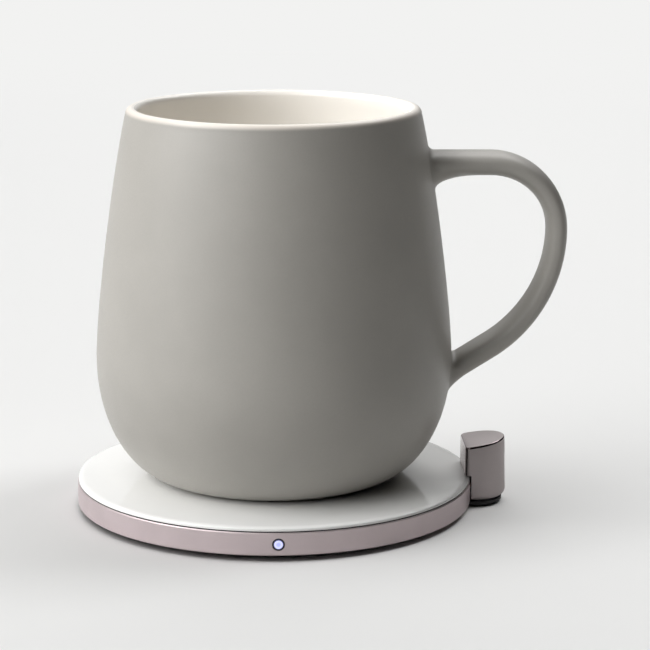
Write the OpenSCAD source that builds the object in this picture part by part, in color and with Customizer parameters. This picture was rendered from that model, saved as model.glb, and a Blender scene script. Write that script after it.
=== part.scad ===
// Self-heating mug: a ceramic mug with a sealed heating module in its foot,
// standing on a wireless heating pad whose power socket sits in a small upright post.
// Millimetres. The table is z = 0, the pad's axis is Z and the power post stands at +X.

/* [Pad] */
// Diameter of the metal rim
pad_d = 104; // [96:0.5:116]
// Height of the metal rim
rim_h = 5.85; // [5.4:0.05:7]
// Wall of the metal rim
rim_wall = 1.6; // [1.2:0.1:2.2]
// Height of the rim's lower edge above the table
rim_lift = 1.5; // [1.4:0.05:1.9]
// Thickness of the glass top
glass_t = 1.0; // [0.7:0.05:1.6]
// Thickness of the black gasket under the glass
gasket_t = 0.3; // [0.2:0.05:0.5]
// How far the glass stands back from the rim's face
glass_inset = 0.2; // [0.1:0.05:0.5]
// Width of the round along the glass's upper edge
glass_round = 1.8; // [0.6:0.1:2.4]
// How far that round drops
glass_drop = 0.5; // [0.2:0.05:0.7]
// Thickness of the base tray's floor
tray_t = 1.4; // [1.3:0.05:1.8]
// How far the base stands back under the rim
base_inset = 3; // [2:0.25:5]
// Thickness of the silicone foot
foot_t = 0.8; // [0.6:0.05:1]

/* [Indicator] */
// Direction of the indicator light, counted from the post
light_angle = -90; // [-110:1:-70]
// Height of the light's centre above the table
light_z = 4.4; // [4.2:0.05:4.8]
// Diameter of the light-pipe lens
lens_d = 2.4; // [1.8:0.1:2.6]
// Wall of the dark collar round the lens
collar_wall = 0.35; // [0.25:0.05:0.45]

/* [Power post] */
// How far the post reaches over the glass
post_overlap = 2; // [1.6:0.1:3]
// Radius of the post's rounded outer end
post_r = 8; // [7.4:0.1:9]
// Length of the post's straight sides
post_straight = 3.3; // [2.8:0.1:6]
// Rounding of the two upright edges beside the flat face
post_corner = 1.4; // [0.5:0.1:2]
// Height of the flat face above the glass
post_face_h = 7.6; // [6:0.1:9]
// Slope of the post's top, rising outwards
post_slope = 9; // [4:1:12]
// Wall of the post's metal shell
post_wall = 1.2; // [0.9:0.1:1.4]
// Gap between the rim and the post
post_gap = 0.35; // [0.2:0.05:0.6]

/* [Mug] */
// Height of the mug
mug_h = 97; // [88:0.5:110]
// Largest radius of the mug, at its belly
belly_r = 46.5; // [43:0.25:50]
// Height of the belly above the foot
belly_z = 31.5; // [27:0.5:36]
// Radius of the mug just under its lip
lip_r = 38.1; // [35:0.25:42]
// Lean of the wall under the lip
lip_lean = 12.5; // [9:0.5:16]
// Radius of the foot that touches the pad
foot_r = 27; // [26:0.25:30]
// Thickness of the ceramic wall
wall_t = 3.2; // [2.8:0.1:4]
// Thickness of the ceramic floor under the drink
floor_t = 3; // [2.5:0.25:5]
// Radius of the flat part of the cup's floor
cup_floor_r = 26; // [20:0.5:30]

/* [Handle] */
// Angle of the handle from the post, as the mug is set down
handle_turn = -1; // [-20:1:20]
// Height of the middle of the upper arm above the foot
arm_z = 82.4; // [76:0.2:85]
// Distance from the mug's axis to the middle of the grip
grip_x = 73.5; // [69:0.25:80]
// Radius of the upper bend
upper_bend = 17.5; // [14:0.25:19]
// Radius of the lower bend
lower_bend = 36.5; // [33:0.25:38]
// Angle that the lower bend turns through
lower_turn = 58; // [54:1:62]
// Thickness of the grip
grip_t = 5.4; // [4.8:0.1:6.5]
// Width of the grip
grip_w = 12; // [10:0.25:14]
// How much thicker the arms are than the grip
arm_swell_t = 0.8; // [0:0.1:1.5]
// How much wider the arms are than the grip
arm_swell_w = 1.5; // [0:0.1:3]
// Reach of the flare where an arm meets the wall
root_reach = 5; // [3:0.25:6]
// How far the flare spreads at the wall
root_spread = 2.4; // [1:0.1:3]
// Reach of the long flare under the upper arm
under_reach = 12; // [6:0.5:13]

/* [Heating module in the mug] */
// Radius of the space for the module, open below
bay_r = 22.5; // [21.5:0.25:23]
// Width of the ledge that the cover closes against
ledge_w = 1.8; // [1.4:0.1:2.2]
// How far the cover stands back from the foot
cover_recess = 0.4; // [0.2:0.05:0.6]
// Thickness of the base cover
cover_t = 1.2; // [1:0.1:1.6]
// Thickness of the silicone seal
seal_t = 0.6; // [0.4:0.05:0.8]
// Thickness of the receiver coil
rx_coil_t = 1.2; // [1:0.1:1.5]
// Thickness of each ferrite sheet
ferrite_t = 0.8; // [0.6:0.1:1]
// Height of the module frame
frame_h = 3.8; // [3.6:0.1:4.2]
// Thickness of the insulation between frame and heater
insulation_t = 1.8; // [1.4:0.1:2.4]
// Thickness of the heater disc
heater_t = 0.8; // [0.5:0.05:1]

/* [Coils and boards] */
// Turns of the transmitter coil
tx_turns = 10; // [6:1:10]
// Turns of the receiver coil
rx_turns = 8; // [6:1:8]
// Width of the coils' flat wire
wire_w = 1.1; // [0.9:0.05:1.2]
// Radius of the carrier that holds the transmitter coil
carrier_r = 28; // [26:0.25:29]
// Thickness of the transmitter coil
tx_coil_t = 1.2; // [1:0.1:1.4]
// Thickness of the circuit boards
board_t = 1; // [0.8:0.05:1.2]
// Height of the pillars under the main board
pillar_h = 0.8; // [0.7:0.05:0.9]

/* [Hidden] */
$fn = 96;

// Clearances
fit = 0.1;          // between pieces that slot together
seat = 0.05;        // beside a soldered or glued piece
eps = 0.01;         // overrun of a cut past a face

// Colours
grey_glaze = "#9c9a92";
mauve_metal = "#9b8687";
dark_plastic = "#2c2c2e";
copper = "#b5713c";
ferrite_grey = "#4b4b4f";
board_green = "#2f5b40";
steel = "#b9bcc0";

// Levels of the pad, from the table up
pad_r = pad_d / 2;
tray_z = foot_t;
tray_top = tray_z + tray_t;
rim_top = rim_lift + rim_h;
glass_z = rim_top + gasket_t;
glass_top = glass_z + glass_t;
rim_in = pad_r - rim_wall;
glass_r = pad_r - glass_inset;
rim_chamfer = 0.25;
board_z = tray_top + pillar_h;
board_top = board_z + board_t;
base_r = pad_r - base_inset;
foot_pad_r = base_r - 1;

// Screws
screw_r = 0.8;
screw_hole_r = screw_r + seat;
head_r = 1.6;
head_h = 0.9;
base_screw_r = 1;
base_hole_r = base_screw_r + seat;
base_head_r = 1.9;
base_head_h = 0.85;
lug_count = 4;
lug_r = 2.6;
lug_x = foot_pad_r - base_head_r - 0.9;
lug_h = rim_top - tray_top - 1.2;
pillar_count = 3;
pillar_angle = 90;
pillar_r = 2.2;

// Transmitter coil and its carrier
carrier_plate = 1.4;
carrier_wall = 1.6;
carrier_in = carrier_r - carrier_wall;
glass_air = 0.45;
tx_coil_z = glass_z - glass_air - tx_coil_t;
tx_ferrite_z = tx_coil_z - ferrite_t;
plate_z = tx_ferrite_z - carrier_plate;
tx_out = carrier_in - 0.6;
ferrite_out = carrier_in - 0.3;
ferrite_hole = 4;
wire_gap = 0.45;
pitch = wire_w + wire_gap;
tx_in = tx_out - wire_w - pitch * tx_turns;
lead_angle = 150;
lead_w = 1.2;
lead_t = 0.3;
lead_gap = 1.4;
lead_r = carrier_r + 4;
boss_r = 3;
sensor_r = 2.6;
boss_top = tx_coil_z + 0.4;
hub_in = 6;
hub_out = 8;
rib_w = 1.2;
rib_lift = 0.3;
ear_t = 1;
ear_w = 6;

// Main board
board_in = carrier_r + 2;
board_out = lug_x - lug_r - 0.4;
pillar_x = (board_in + board_out) / 2;
led_w = 2.4;
led_d = 1.2;
driver_chip_w = 6;
control_chip_w = 5;
switch_l = 4;
switch_w = 3.4;
capacitor_l = 4.8;
capacitor_w = 4;
capacitor_h = 2.2;
inductor_w = 6;
inductor_r = 2.8;
inductor_h = 2.6;

// Power post
post_x = pad_r - post_overlap;
post_cx = post_x + post_straight;
post_reach = post_cx + post_r;
post_under_r = pad_r + post_gap;
over_glass = 0.1;
overhang_z = glass_top + over_glass;
overhang_t = 1;
post_top_t = 1.4;
post_top_z = glass_top + post_face_h;
core_inset = post_wall + 0.15;
tongue_inset = 0.8;
tongue_foot_inset = 2;
post_screw_x = post_cx + 2.4;
post_screw_y = 3.6;

// Power socket, a standard USB-C receptacle standing on edge
usb_w = 8.94;
usb_t = 3.16;
usb_l = 7.2;
usb_metal = 0.3;
usb_z = glass_top + 0.65;
usb_x = post_reach - 0.4 - usb_l;
tongue_w = 6.6;
tongue_t = 0.7;
plug_gap = 0.17;
post_board_t = 0.8;
post_board_x = post_under_r + post_wall + fit;
post_board_foot = 1.3;
post_board_h = 11.6;
post_board_end = post_cx - 0.2 + sqrt(pow(post_r - core_inset, 2) - pow(usb_t / 2 + post_board_t, 2));
flex_w = 5;
flex_tail = 4;
flex_into = 2;
flex_t = 0.3;
flex_y0 = -usb_t / 2 + seat;
flex_z = board_top;
window_gap = 0.1;
window_h = 1.1;

// Levels of the module in the mug, from the mug's foot up
seal_z = cover_recess + cover_t;
ledge_z = seal_z + seal_t;
ledge_r = bay_r + ledge_w;
rx_coil_z = seal_z;
rx_ferrite_z = rx_coil_z + rx_coil_t;
frame_z = rx_ferrite_z + ferrite_t;
rx_board_z = frame_z + 1.4;
rx_board_top = rx_board_z + board_t;
insulation_z = frame_z + frame_h;
heater_z = insulation_z + insulation_t;
bay_h = heater_z + heater_t;
cup_floor_z = bay_h + floor_t;
module_r = bay_r - 0.3;
frame_wall = 1.4;
frame_ledge = 1.6;
board_vent_angle = 60;
board_vent_x = 7;
board_vent_r = 2;
rx_chip_x = 12;
rx_chip_w = 4;
heater_lead_x = 14;
heater_lead_r = 0.5;
bead_r = 1.4;

// Shared shapes

module disc(r, z, h) translate([0, 0, z]) cylinder(r = r, h = h);

module ring(r_out, r_in, z, h) difference() {
    disc(r_out, z, h);
    disc(r_in, z - eps, h + 2 * eps);
}

module around(count, first = 0) for (i = [0:count - 1]) rotate([0, 0, first + i * 360 / count]) children();

module block(x0, x1, width, z, h) translate([x0, -width / 2, z]) cube([x1 - x0, width, h]);

// A slot with round ends, its length along the second axis
module slot(w, l) {
    square([w, l - w], center = true);
    for (s = [-1, 1]) translate([0, s * (l - w) / 2]) circle(d = w, $fn = 48);
}

function bezier(a, b, c, d, t) =
    pow(1 - t, 3) * a + 3 * pow(1 - t, 2) * t * b + 3 * (1 - t) * t * t * c + t * t * t * d;
function curve(a, b, c, d, steps) = [for (i = [0:steps]) bezier(a, b, c, d, i / steps)];
function reverse(list) = [for (i = [len(list) - 1:-1:0]) list[i]];
function tail(list) = [for (i = [1:len(list) - 1]) list[i]];

// A flat spiral winding of one unbroken wire, with both ends at angle 0
module winding(r_out, turns, z, h) {
    steps = 20 * turns;
    r_mid = r_out - wire_w / 2;
    edge = function (side) [for (i = [0:steps])
        let (a = i * 360 / 20, r = r_mid - pitch * i / 20 + side * wire_w / 2) [r * cos(a), r * sin(a)]];
    translate([0, 0, z]) linear_extrude(h) polygon(concat(edge(1), reverse(edge(-1))));
}

// A countersunk screw that goes up from z, with its head flush
module sunk_screw(r, r_head, h_head, z, l) translate([0, 0, z]) {
    cylinder(r1 = r_head, r2 = r, h = h_head);
    cylinder(r = r, h = l);
}

// The mug's outline, radius against height above the foot

foot_sweep = 10.5;
belly_drop = 18;
belly_rise = 11;
lip_pull = 18.5;
lip_round = wall_t / 2;
lip_z = mug_h - lip_round;
outer_low = curve([foot_r, 0], [foot_r + foot_sweep, 0], [belly_r, belly_z - belly_drop],
    [belly_r, belly_z], 16);
outer_up = curve([belly_r, belly_z], [belly_r, belly_z + belly_rise],
    [lip_r + lip_pull * tan(lip_lean), lip_z - lip_pull], [lip_r, lip_z], 14);
outer_side = concat(outer_low, tail(outer_up));
lip_arc = [for (a = [22.5:22.5:157.5]) [lip_r - lip_round + lip_round * cos(a), lip_z + lip_round * sin(a)]];
inner_up = [for (p = reverse(outer_up)) [p[0] - wall_t, p[1]]];
inner_low = curve([belly_r - wall_t, belly_z], [belly_r - wall_t, cup_floor_z + 6],
    [cup_floor_r + 11, cup_floor_z], [cup_floor_r, cup_floor_z], 12);
side_table = [for (p = outer_side) [p[1], p[0]]];
function side_r(z) = lookup(z, side_table);

// The handle's stations, each [x, z, direction of the outer side, direction of the section].
// The sections turn to lie along the wall where the arms meet it.

bend_z = arm_z - upper_bend;
root_depth = wall_t * 0.6;
upper_cx = grip_x - upper_bend;
lower_cx = grip_x - lower_bend;
arm_in = side_r(arm_z) - root_depth;
arm_lean = atan((side_r(arm_z - 4) - side_r(arm_z + 4)) / 8);
low_start = [lower_cx + lower_bend * cos(lower_turn), bend_z - lower_bend * sin(lower_turn)];
low_run = (low_start[0] - belly_r + root_depth) / sin(lower_turn);
turn_in = 9;            // length over which the sections turn
function turned(s) = max(0, 1 - s / turn_in);
stations = concat(
    [for (i = [0:8]) let (s = (upper_cx - arm_in) * pow(i / 9, 1.4))
        [arm_in + s, arm_z, 90, 90 + arm_lean * turned(s)]],
    [for (i = [0:9]) let (a = 90 - 9 * i)
        [upper_cx + upper_bend * cos(a), bend_z + upper_bend * sin(a), a, a]],
    [for (i = [0:9]) let (a = -lower_turn * i / 10)
        [lower_cx + lower_bend * cos(a), bend_z + lower_bend * sin(a), a, a]],
    [for (i = [8:-1:0]) let (s = low_run * pow(i / 8, 1.4), run = low_run - s)
        [low_start[0] - run * sin(lower_turn), low_start[1] - run * cos(lower_turn), -lower_turn,
            -lower_turn - (90 - lower_turn) * turned(s)]]);
grip_sides = 20;
grip_square = 2.4;      // 2 is an ellipse, more is squarer
under_flare = 0.5;      // extra flare under the upper arm

function swell(a) = pow(sin(a), 2);
function flare(d, reach) = root_spread * pow(max(0, 1 - max(d, -0.6) / reach), 2);
function power(v) = sign(v) * pow(abs(v), 2 / grip_square);
function section(st) = let (
        d = st[0] - side_r(st[1]),
        g = flare(d, root_reach),
        under = st[2] > 0 ? (1 + under_flare) * flare(d, under_reach) : g,
        half_t = (grip_t + arm_swell_t * swell(st[2])) / 2 / cos(st[2] - st[3]),
        half_w = (grip_w + arm_swell_w * swell(st[2])) / 2)
    [for (i = [0:grip_sides - 1]) let (
            b = 360 * i / grip_sides,
            out = power(cos(b)) * half_t + (cos(b) > 0 ? g : under) * cos(b),
            across = power(sin(b)) * half_w + g * sin(b))
        [st[0] + out * cos(st[3]), across, st[1] + out * sin(st[3])]];

module handle() {
    rings = len(stations);
    points = [for (st = stations) each section(st)];
    sides = [for (k = [0:rings - 2], i = [0:grip_sides - 1]) let (
            j = (i + 1) % grip_sides, a = k * grip_sides, b = a + grip_sides)
        each [[a + i, a + j, b + i], [a + j, b + j, b + i]]];
    caps = [[for (i = [grip_sides - 1:-1:0]) i],
        [for (i = [0:grip_sides - 1]) (rings - 1) * grip_sides + i]];
    polyhedron(points = points, faces = concat(sides, caps), convexity = 6);
}

// Places a piece of the mug, which stands on the glass
module on_pad() translate([0, 0, glass_top]) rotate([0, 0, handle_turn]) children();

module mug_body() color(grey_glaze) on_pad() {
    rotate_extrude($fn = 180) polygon(concat(outer_side, lip_arc, inner_up, tail(inner_low),
        [[0, cup_floor_z], [0, bay_h], [bay_r, bay_h], [bay_r, ledge_z], [ledge_r, ledge_z],
            [ledge_r, 0]]));
    handle();
}

module heater_disc() color(steel) on_pad() disc(module_r, heater_z, heater_t);

module heater_leads() color(copper) on_pad() for (s = [-1, 1])
    translate([s * heater_lead_x, 0, rx_board_top]) cylinder(r = heater_lead_r, h = heater_z - rx_board_top);

module temperature_sensor() color("#d8b25a") on_pad() {
    disc(bead_r, heater_z - 1, 1);
    for (s = [-1, 1]) translate([0, s * bead_r / 2, rx_board_top])
        cylinder(r = 0.2, h = heater_z - 1 - rx_board_top + eps);
}

module insulation_pad() color("#e8e2d2") on_pad() difference() {
    disc(module_r, insulation_z, insulation_t);
    disc(bead_r + fit, insulation_z - eps, insulation_t + 2 * eps);
    for (s = [-1, 1]) translate([s * heater_lead_x, 0, 0])
        disc(heater_lead_r + fit, insulation_z - eps, insulation_t + 2 * eps);
}

module module_frame() color(dark_plastic) on_pad() {
    ring(module_r, module_r - frame_wall, frame_z, frame_h);
    ring(module_r - frame_wall + eps, module_r - frame_wall - frame_ledge, frame_z, rx_board_z - frame_z);
    around(6, 30) block(module_r - frame_wall - frame_ledge - 3, module_r - frame_wall, rib_w,
        frame_z, rx_board_z - frame_z);
}

module receiver_board() color(board_green) on_pad() difference() {
    disc(module_r - frame_wall - fit, rx_board_z, board_t);
    around(2, board_vent_angle) translate([board_vent_x, 0, 0])
        disc(board_vent_r, rx_board_z - eps, board_t + 2 * eps);
}

module receiver_chips() color(dark_plastic) on_pad() {
    around(3, 90) block(rx_chip_x - rx_chip_w / 2, rx_chip_x + rx_chip_w / 2, rx_chip_w, rx_board_top, 0.9);
    around(3, 30) translate([rx_chip_x, 0, rx_board_top]) cylinder(r = 1.7, h = 1.2);
}

module receiver_ferrite() color(ferrite_grey) on_pad() ring(module_r, ferrite_hole, rx_ferrite_z, ferrite_t);

module receiver_coil() color(copper) on_pad() winding(module_r - 0.7, rx_turns, rx_coil_z, rx_coil_t);

module base_seal() color("#55565a") on_pad() ring(ledge_r - fit, bay_r + 0.1, seal_z, seal_t);

module base_cover() color("#d9d6cf") on_pad() disc(ledge_r - fit, cover_recess, cover_t);

module top_glass() color("#f3f4f1") rotate_extrude($fn = 180) polygon(concat(
    [[0, glass_z], [glass_r, glass_z]],
    [for (a = [0:15:90]) [glass_r - glass_round * (1 - cos(a)), glass_top - glass_drop * (1 - sin(a))]],
    [[0, glass_top]]));

module glass_gasket() color("#1c1c1e")
    ring(pad_r - 2 * glass_inset, rim_in - 0.3, rim_top, gasket_t, $fn = 180);

// Cut in the rim and in the post's shell for the flat cable
module cable_window() translate([rim_in - 1, flex_y0 - 0.3, flex_z - window_gap])
    cube([post_under_r + post_wall + 1.5 - rim_in, flex_w + 0.6, window_h]);

module light_hole(r) rotate([0, 0, light_angle]) translate([0, 0, light_z]) rotate([0, 90, 0])
    cylinder(r = r, h = pad_r + 5);

module rim_ring() color(mauve_metal) difference() {
    union() {
        rotate_extrude($fn = 180) polygon([[rim_in, rim_lift], [pad_r - rim_chamfer, rim_lift],
            [pad_r, rim_lift + rim_chamfer], [pad_r, rim_top - rim_chamfer],
            [pad_r - rim_chamfer, rim_top], [rim_in, rim_top]]);
        around(lug_count, 45) {
            translate([lug_x, 0, tray_top]) cylinder(r = lug_r, h = lug_h, $fn = 48);
            block(lug_x, rim_in + rim_wall / 2, 2 * lug_r, tray_top, lug_h);
        }
    }
    around(lug_count, 45) translate([lug_x, 0, tray_top - eps]) cylinder(r = base_hole_r, h = lug_h - 0.8);
    difference() {
        light_hole(lens_d / 2 + collar_wall + seat);
        disc(rim_in - 1, 0, rim_top);
    }
    cable_window();
}

module indicator_lens() color("#dfe6ff") intersection() {
    light_hole(lens_d / 2);
    ring(pad_r, board_out + 0.2, 0, rim_top, $fn = 180);
}

module indicator_collar() color("#15151a") difference() {
    intersection() {
        light_hole(lens_d / 2 + collar_wall);
        ring(pad_r - fit, rim_in - 1.2, 0, rim_top, $fn = 180);
    }
    light_hole(lens_d / 2 + seat);
}

module indicator_led() color("#f2f3f5") rotate([0, 0, light_angle])
    block(board_out - led_d, board_out, led_w, board_top, 2 * (light_z - board_top));

// Opening in the carrier's lip for the coil's two leads
module lead_notch() rotate([0, 0, lead_angle])
    block(carrier_in - 1, carrier_r + 1, 2 * lead_gap + 2 * lead_w + 1, tx_coil_z - 0.2, 5);

// Half of the carrier's section: skirt, plate, lip, hub and the boss under the sensor
module carrier_section() polygon([[0, plate_z], [hub_in, plate_z], [hub_in, tray_top], [hub_out, tray_top],
    [hub_out, plate_z], [carrier_in, plate_z], [carrier_in, tray_top], [carrier_r, tray_top],
    [carrier_r, tx_coil_z + tx_coil_t], [carrier_in, tx_coil_z + tx_coil_t], [carrier_in, tx_ferrite_z],
    [boss_r, tx_ferrite_z], [boss_r, boss_top], [0, boss_top]]);

module coil_carrier() color(dark_plastic) difference() {
    union() {
        rotate_extrude() carrier_section();
        around(6, 30) block(hub_out - 0.5, carrier_in + 0.4, rib_w, tray_top + rib_lift,
            plate_z - tray_top - rib_lift + 0.1);
        around(pillar_count, pillar_angle) {
            block(carrier_in + 0.8, pillar_x, ear_w, board_top, ear_t);
            translate([pillar_x, 0, board_top]) cylinder(d = ear_w, h = ear_t, $fn = 48);
        }
    }
    around(pillar_count, pillar_angle) translate([pillar_x, 0, board_top - 1])
        cylinder(r = screw_hole_r, h = ear_t + 2);
    lead_notch();
}

module transmitter_ferrite() color(ferrite_grey)
    ring(ferrite_out, ferrite_hole, tx_ferrite_z, ferrite_t);

module transmitter_coil() color(copper) rotate([0, 0, lead_angle]) {
    winding(tx_out, tx_turns, tx_coil_z, tx_coil_t);
    translate([0, lead_gap, 0]) {
        block(tx_out - wire_w, lead_r, lead_w, tx_coil_z + tx_coil_t - lead_t, lead_t);
        block(lead_r - lead_t, lead_r, lead_w, board_top, tx_coil_z + tx_coil_t - board_top);
    }
    // The inner end rises a little and crosses over the turns
    translate([0, -lead_gap, 0]) {
        block(tx_in, tx_in + wire_w / 2, lead_w, tx_coil_z + tx_coil_t - seat, 2 * seat + eps);
        block(tx_in, lead_r, lead_w, tx_coil_z + tx_coil_t + seat, lead_t / 2);
        block(lead_r - lead_t, lead_r, lead_w, board_top, tx_coil_z + tx_coil_t + seat + eps - board_top);
    }
}

module coil_sensor() color("#d8b25a") disc(sensor_r, boss_top, glass_z - boss_top - seat);

module main_board() color(board_green) difference() {
    ring(board_out, board_in, board_z, board_t);
    around(pillar_count, pillar_angle) translate([pillar_x, 0, board_z - eps])
        cylinder(r = screw_hole_r, h = board_t + 1);
}

module control_chips() color("#202124") {
    rotate([0, 0, 30]) block(pillar_x - driver_chip_w / 2, pillar_x + driver_chip_w / 2,
        driver_chip_w, board_top, 0.9);
    rotate([0, 0, 60]) block(pillar_x - control_chip_w / 2, pillar_x + control_chip_w / 2,
        control_chip_w, board_top, 0.9);
    for (a = [172, 182, 192]) rotate([0, 0, a])
        block(pillar_x - switch_l / 2, pillar_x + switch_l / 2, switch_w, board_top, 1);
}

module tuning_capacitors() color("#b98a4a") for (i = [0:4])
    rotate([0, 0, 232 + 12 * i])
        block(pillar_x - capacitor_l / 2, pillar_x + capacitor_l / 2, capacitor_w, board_top, capacitor_h);

module power_inductors() color("#5b5c60") for (a = [112, 128]) rotate([0, 0, a]) {
    block(pillar_x - inductor_w / 2, pillar_x + inductor_w / 2, inductor_w, board_top, 0.8);
    translate([pillar_x, 0, board_top]) cylinder(r = inductor_r, h = inductor_h, $fn = 48);
}

module carrier_screws() color(steel) around(pillar_count, pillar_angle) translate([pillar_x, 0, 0]) {
    disc(screw_r, tray_top - 0.7, board_top + ear_t + eps - tray_top + 0.7);
    disc(head_r, board_top + ear_t, head_h);
}

// The post's outline in plan, drawn in by inset
module post_plan(inset) {
    r = post_r - inset;
    c = max(post_corner - inset, 0.2);
    translate([post_cx, 0]) circle(r = r);
    translate([post_x + inset + c, -r]) square([post_cx - post_x - inset - c, 2 * r]);
    translate([post_x + inset, -r + c]) square([2 * c, 2 * (r - c)]);
    for (s = [-1, 1]) translate([post_x + inset + c, s * (r - c)]) circle(r = c, $fn = 48);
}

// The tongue of the base that carries the post, also for the foot under it
module tongue_plan(inset) {
    translate([post_cx, 0]) circle(r = post_r - inset);
    translate([base_r - 8, -post_r + inset]) square([post_cx - base_r + 8, 2 * (post_r - inset)]);
}

// All that lies under the sloped plane, which is drop below the post's top
module under_slope(drop) translate([post_x, 0, post_top_z - drop]) rotate([0, -post_slope, 0])
    translate([-20, -20, -40]) cube([60, 40, 40]);

module base_tray() color(dark_plastic) difference() {
    union() {
        translate([0, 0, tray_z]) linear_extrude(rim_lift - tray_z) {
            circle(r = base_r, $fn = 180);
            tongue_plan(tongue_inset);
        }
        disc(rim_in - fit, rim_lift - eps, tray_top - rim_lift + eps, $fn = 180);
        around(pillar_count, pillar_angle) translate([pillar_x, 0, tray_top - eps])
            cylinder(r = pillar_r, h = pillar_h + eps);
    }
    around(pillar_count, pillar_angle) translate([pillar_x, 0, tray_top - 0.8])
        cylinder(r = screw_hole_r, h = pillar_h + 1);
    around(lug_count, 45) translate([lug_x, 0, 0])
        sunk_screw(base_hole_r, base_head_r + seat, base_head_h + seat, tray_z - eps, tray_t + 1);
    for (s = [-1, 1]) translate([post_screw_x, s * post_screw_y, 0])
        sunk_screw(screw_hole_r, head_r, rim_lift - tray_z, tray_z - eps, tray_t + 1);
}

module base_screws() color(steel) around(lug_count, 45) translate([lug_x, 0, 0])
    sunk_screw(base_screw_r, base_head_r, base_head_h, tray_z, tray_t + lug_h - 1.2);

module foot_pad() color("#3a3b3e") linear_extrude(foot_t) {
    circle(r = foot_pad_r, $fn = 180);
    tongue_plan(tongue_foot_inset);
}

module post_shell() color(mauve_metal) difference() {
    intersection() {
        translate([0, 0, rim_lift]) linear_extrude(40) post_plan(0);
        under_slope(0);
    }
    disc(post_under_r, 0, overhang_z, $fn = 180);
    difference() {
        intersection() {
            translate([0, 0, rim_lift - eps]) linear_extrude(40) post_plan(post_wall);
            under_slope(post_top_t / cos(post_slope));
        }
        disc(post_under_r + post_wall, 0, overhang_z + overhang_t, $fn = 180);
    }
    translate([usb_x + usb_l / 2, 0, usb_z]) rotate([90, 0, 90])
        linear_extrude(usb_l) slot(usb_t + 2 * plug_gap, usb_w + 2 * plug_gap);
    cable_window();
}

module post_core() color(dark_plastic) difference() {
    translate([0, 0, rim_lift]) linear_extrude(flex_z - rim_lift) post_plan(core_inset);
    disc(post_under_r + post_wall + fit, 0, flex_z + 1, $fn = 180);
    translate([0, -usb_t / 2 - post_board_t - seat, rim_lift + post_board_foot])
        cube([post_reach, post_board_t + 2 * seat, flex_z]);
    for (s = [-1, 1]) translate([post_screw_x, s * post_screw_y, rim_lift - eps])
        cylinder(r = screw_hole_r, h = flex_z - rim_lift - 0.2);
}

module post_board() color(board_green)
    translate([post_board_x, -usb_t / 2 - post_board_t, rim_lift + post_board_foot])
        cube([post_board_end - post_board_x, post_board_t, post_board_h]);

module usb_shell() color(steel) translate([usb_x, 0, usb_z]) rotate([90, 0, 90])
    linear_extrude(usb_l) difference() {
        slot(usb_t, usb_w);
        slot(usb_t - 2 * usb_metal, usb_w - 2 * usb_metal);
    }

module usb_tongue() color("#1b1b1d") translate([usb_x, 0, usb_z]) rotate([90, 0, 90]) {
    linear_extrude(1.6) slot(usb_t - 2 * usb_metal - 2 * seat, usb_w - 2 * usb_metal - 2 * seat);
    linear_extrude(usb_l - 0.7) square([tongue_t, tongue_w], center = true);
}

module link_flex() color("#b8792c") translate([board_out - flex_tail, flex_y0, flex_z])
    cube([post_cx + flex_into - board_out + flex_tail, flex_w, flex_t]);

module post_screws() color(steel) for (s = [-1, 1]) translate([post_screw_x, s * post_screw_y, 0])
    sunk_screw(screw_r, head_r - seat, rim_lift - tray_z - seat, tray_z, flex_z - tray_z - 0.6);

mug_body();
heater_disc();
heater_leads();
temperature_sensor();
insulation_pad();
module_frame();
receiver_board();
receiver_chips();
receiver_ferrite();
receiver_coil();
base_seal();
base_cover();
top_glass();
glass_gasket();
rim_ring();
indicator_lens();
indicator_collar();
indicator_led();
coil_carrier();
transmitter_ferrite();
transmitter_coil();
coil_sensor();
main_board();
control_chips();
tuning_capacitors();
power_inductors();
carrier_screws();
base_tray();
base_screws();
foot_pad();
post_shell();
post_core();
post_board();
usb_shell();
usb_tongue();
link_flex();
post_screws();
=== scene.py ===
"""A self-heating mug on its wireless heating pad: the looks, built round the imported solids.

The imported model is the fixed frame, in metres: the table is z = 0, the pad's axis is Z and
the power post stands at +X. The sub-assemblies hold their sizes in millimetres, as on a
drawing, and turn them into metres where they build their meshes.
"""

import logging
import math
from dataclasses import dataclass, field
from enum import Enum, IntEnum
from typing import Callable, Sequence

import bmesh
import bpy
from mathutils import Matrix, Vector

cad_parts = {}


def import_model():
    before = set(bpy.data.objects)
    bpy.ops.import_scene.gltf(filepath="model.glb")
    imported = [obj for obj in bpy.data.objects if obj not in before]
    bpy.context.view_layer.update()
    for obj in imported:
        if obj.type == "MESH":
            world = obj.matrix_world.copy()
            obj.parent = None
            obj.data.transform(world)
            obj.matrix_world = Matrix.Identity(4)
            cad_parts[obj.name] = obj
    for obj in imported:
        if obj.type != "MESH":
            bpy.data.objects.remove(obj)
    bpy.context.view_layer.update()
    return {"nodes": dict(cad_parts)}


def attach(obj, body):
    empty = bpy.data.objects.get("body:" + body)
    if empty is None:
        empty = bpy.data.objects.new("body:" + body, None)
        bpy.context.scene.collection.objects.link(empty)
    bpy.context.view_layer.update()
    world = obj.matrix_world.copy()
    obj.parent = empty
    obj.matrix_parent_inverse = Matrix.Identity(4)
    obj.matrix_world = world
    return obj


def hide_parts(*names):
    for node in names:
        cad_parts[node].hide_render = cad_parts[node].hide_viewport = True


log = logging.getLogger("mug_and_pad")
logging.basicConfig(level=logging.INFO, format="%(name)s: %(message)s")

Pair = tuple[float, float]
Point = tuple[float, float, float]
Colour = tuple[float, float, float]

BLACK: Colour = (0.0, 0.0, 0.0)

# Lengths in metres: a millimetre, and how close points of a new and of a finished mesh are one.
MM = 0.001
WELD = 1e-6
TOUCHING = 2e-7


class Body(Enum):
    """The two rigid bodies of the frame."""

    PAD = "pad"
    MUG = "mug"


class Root(Enum):
    """The two places where the handle meets the wall."""

    UPPER = "upper"
    LOWER = "lower"


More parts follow.
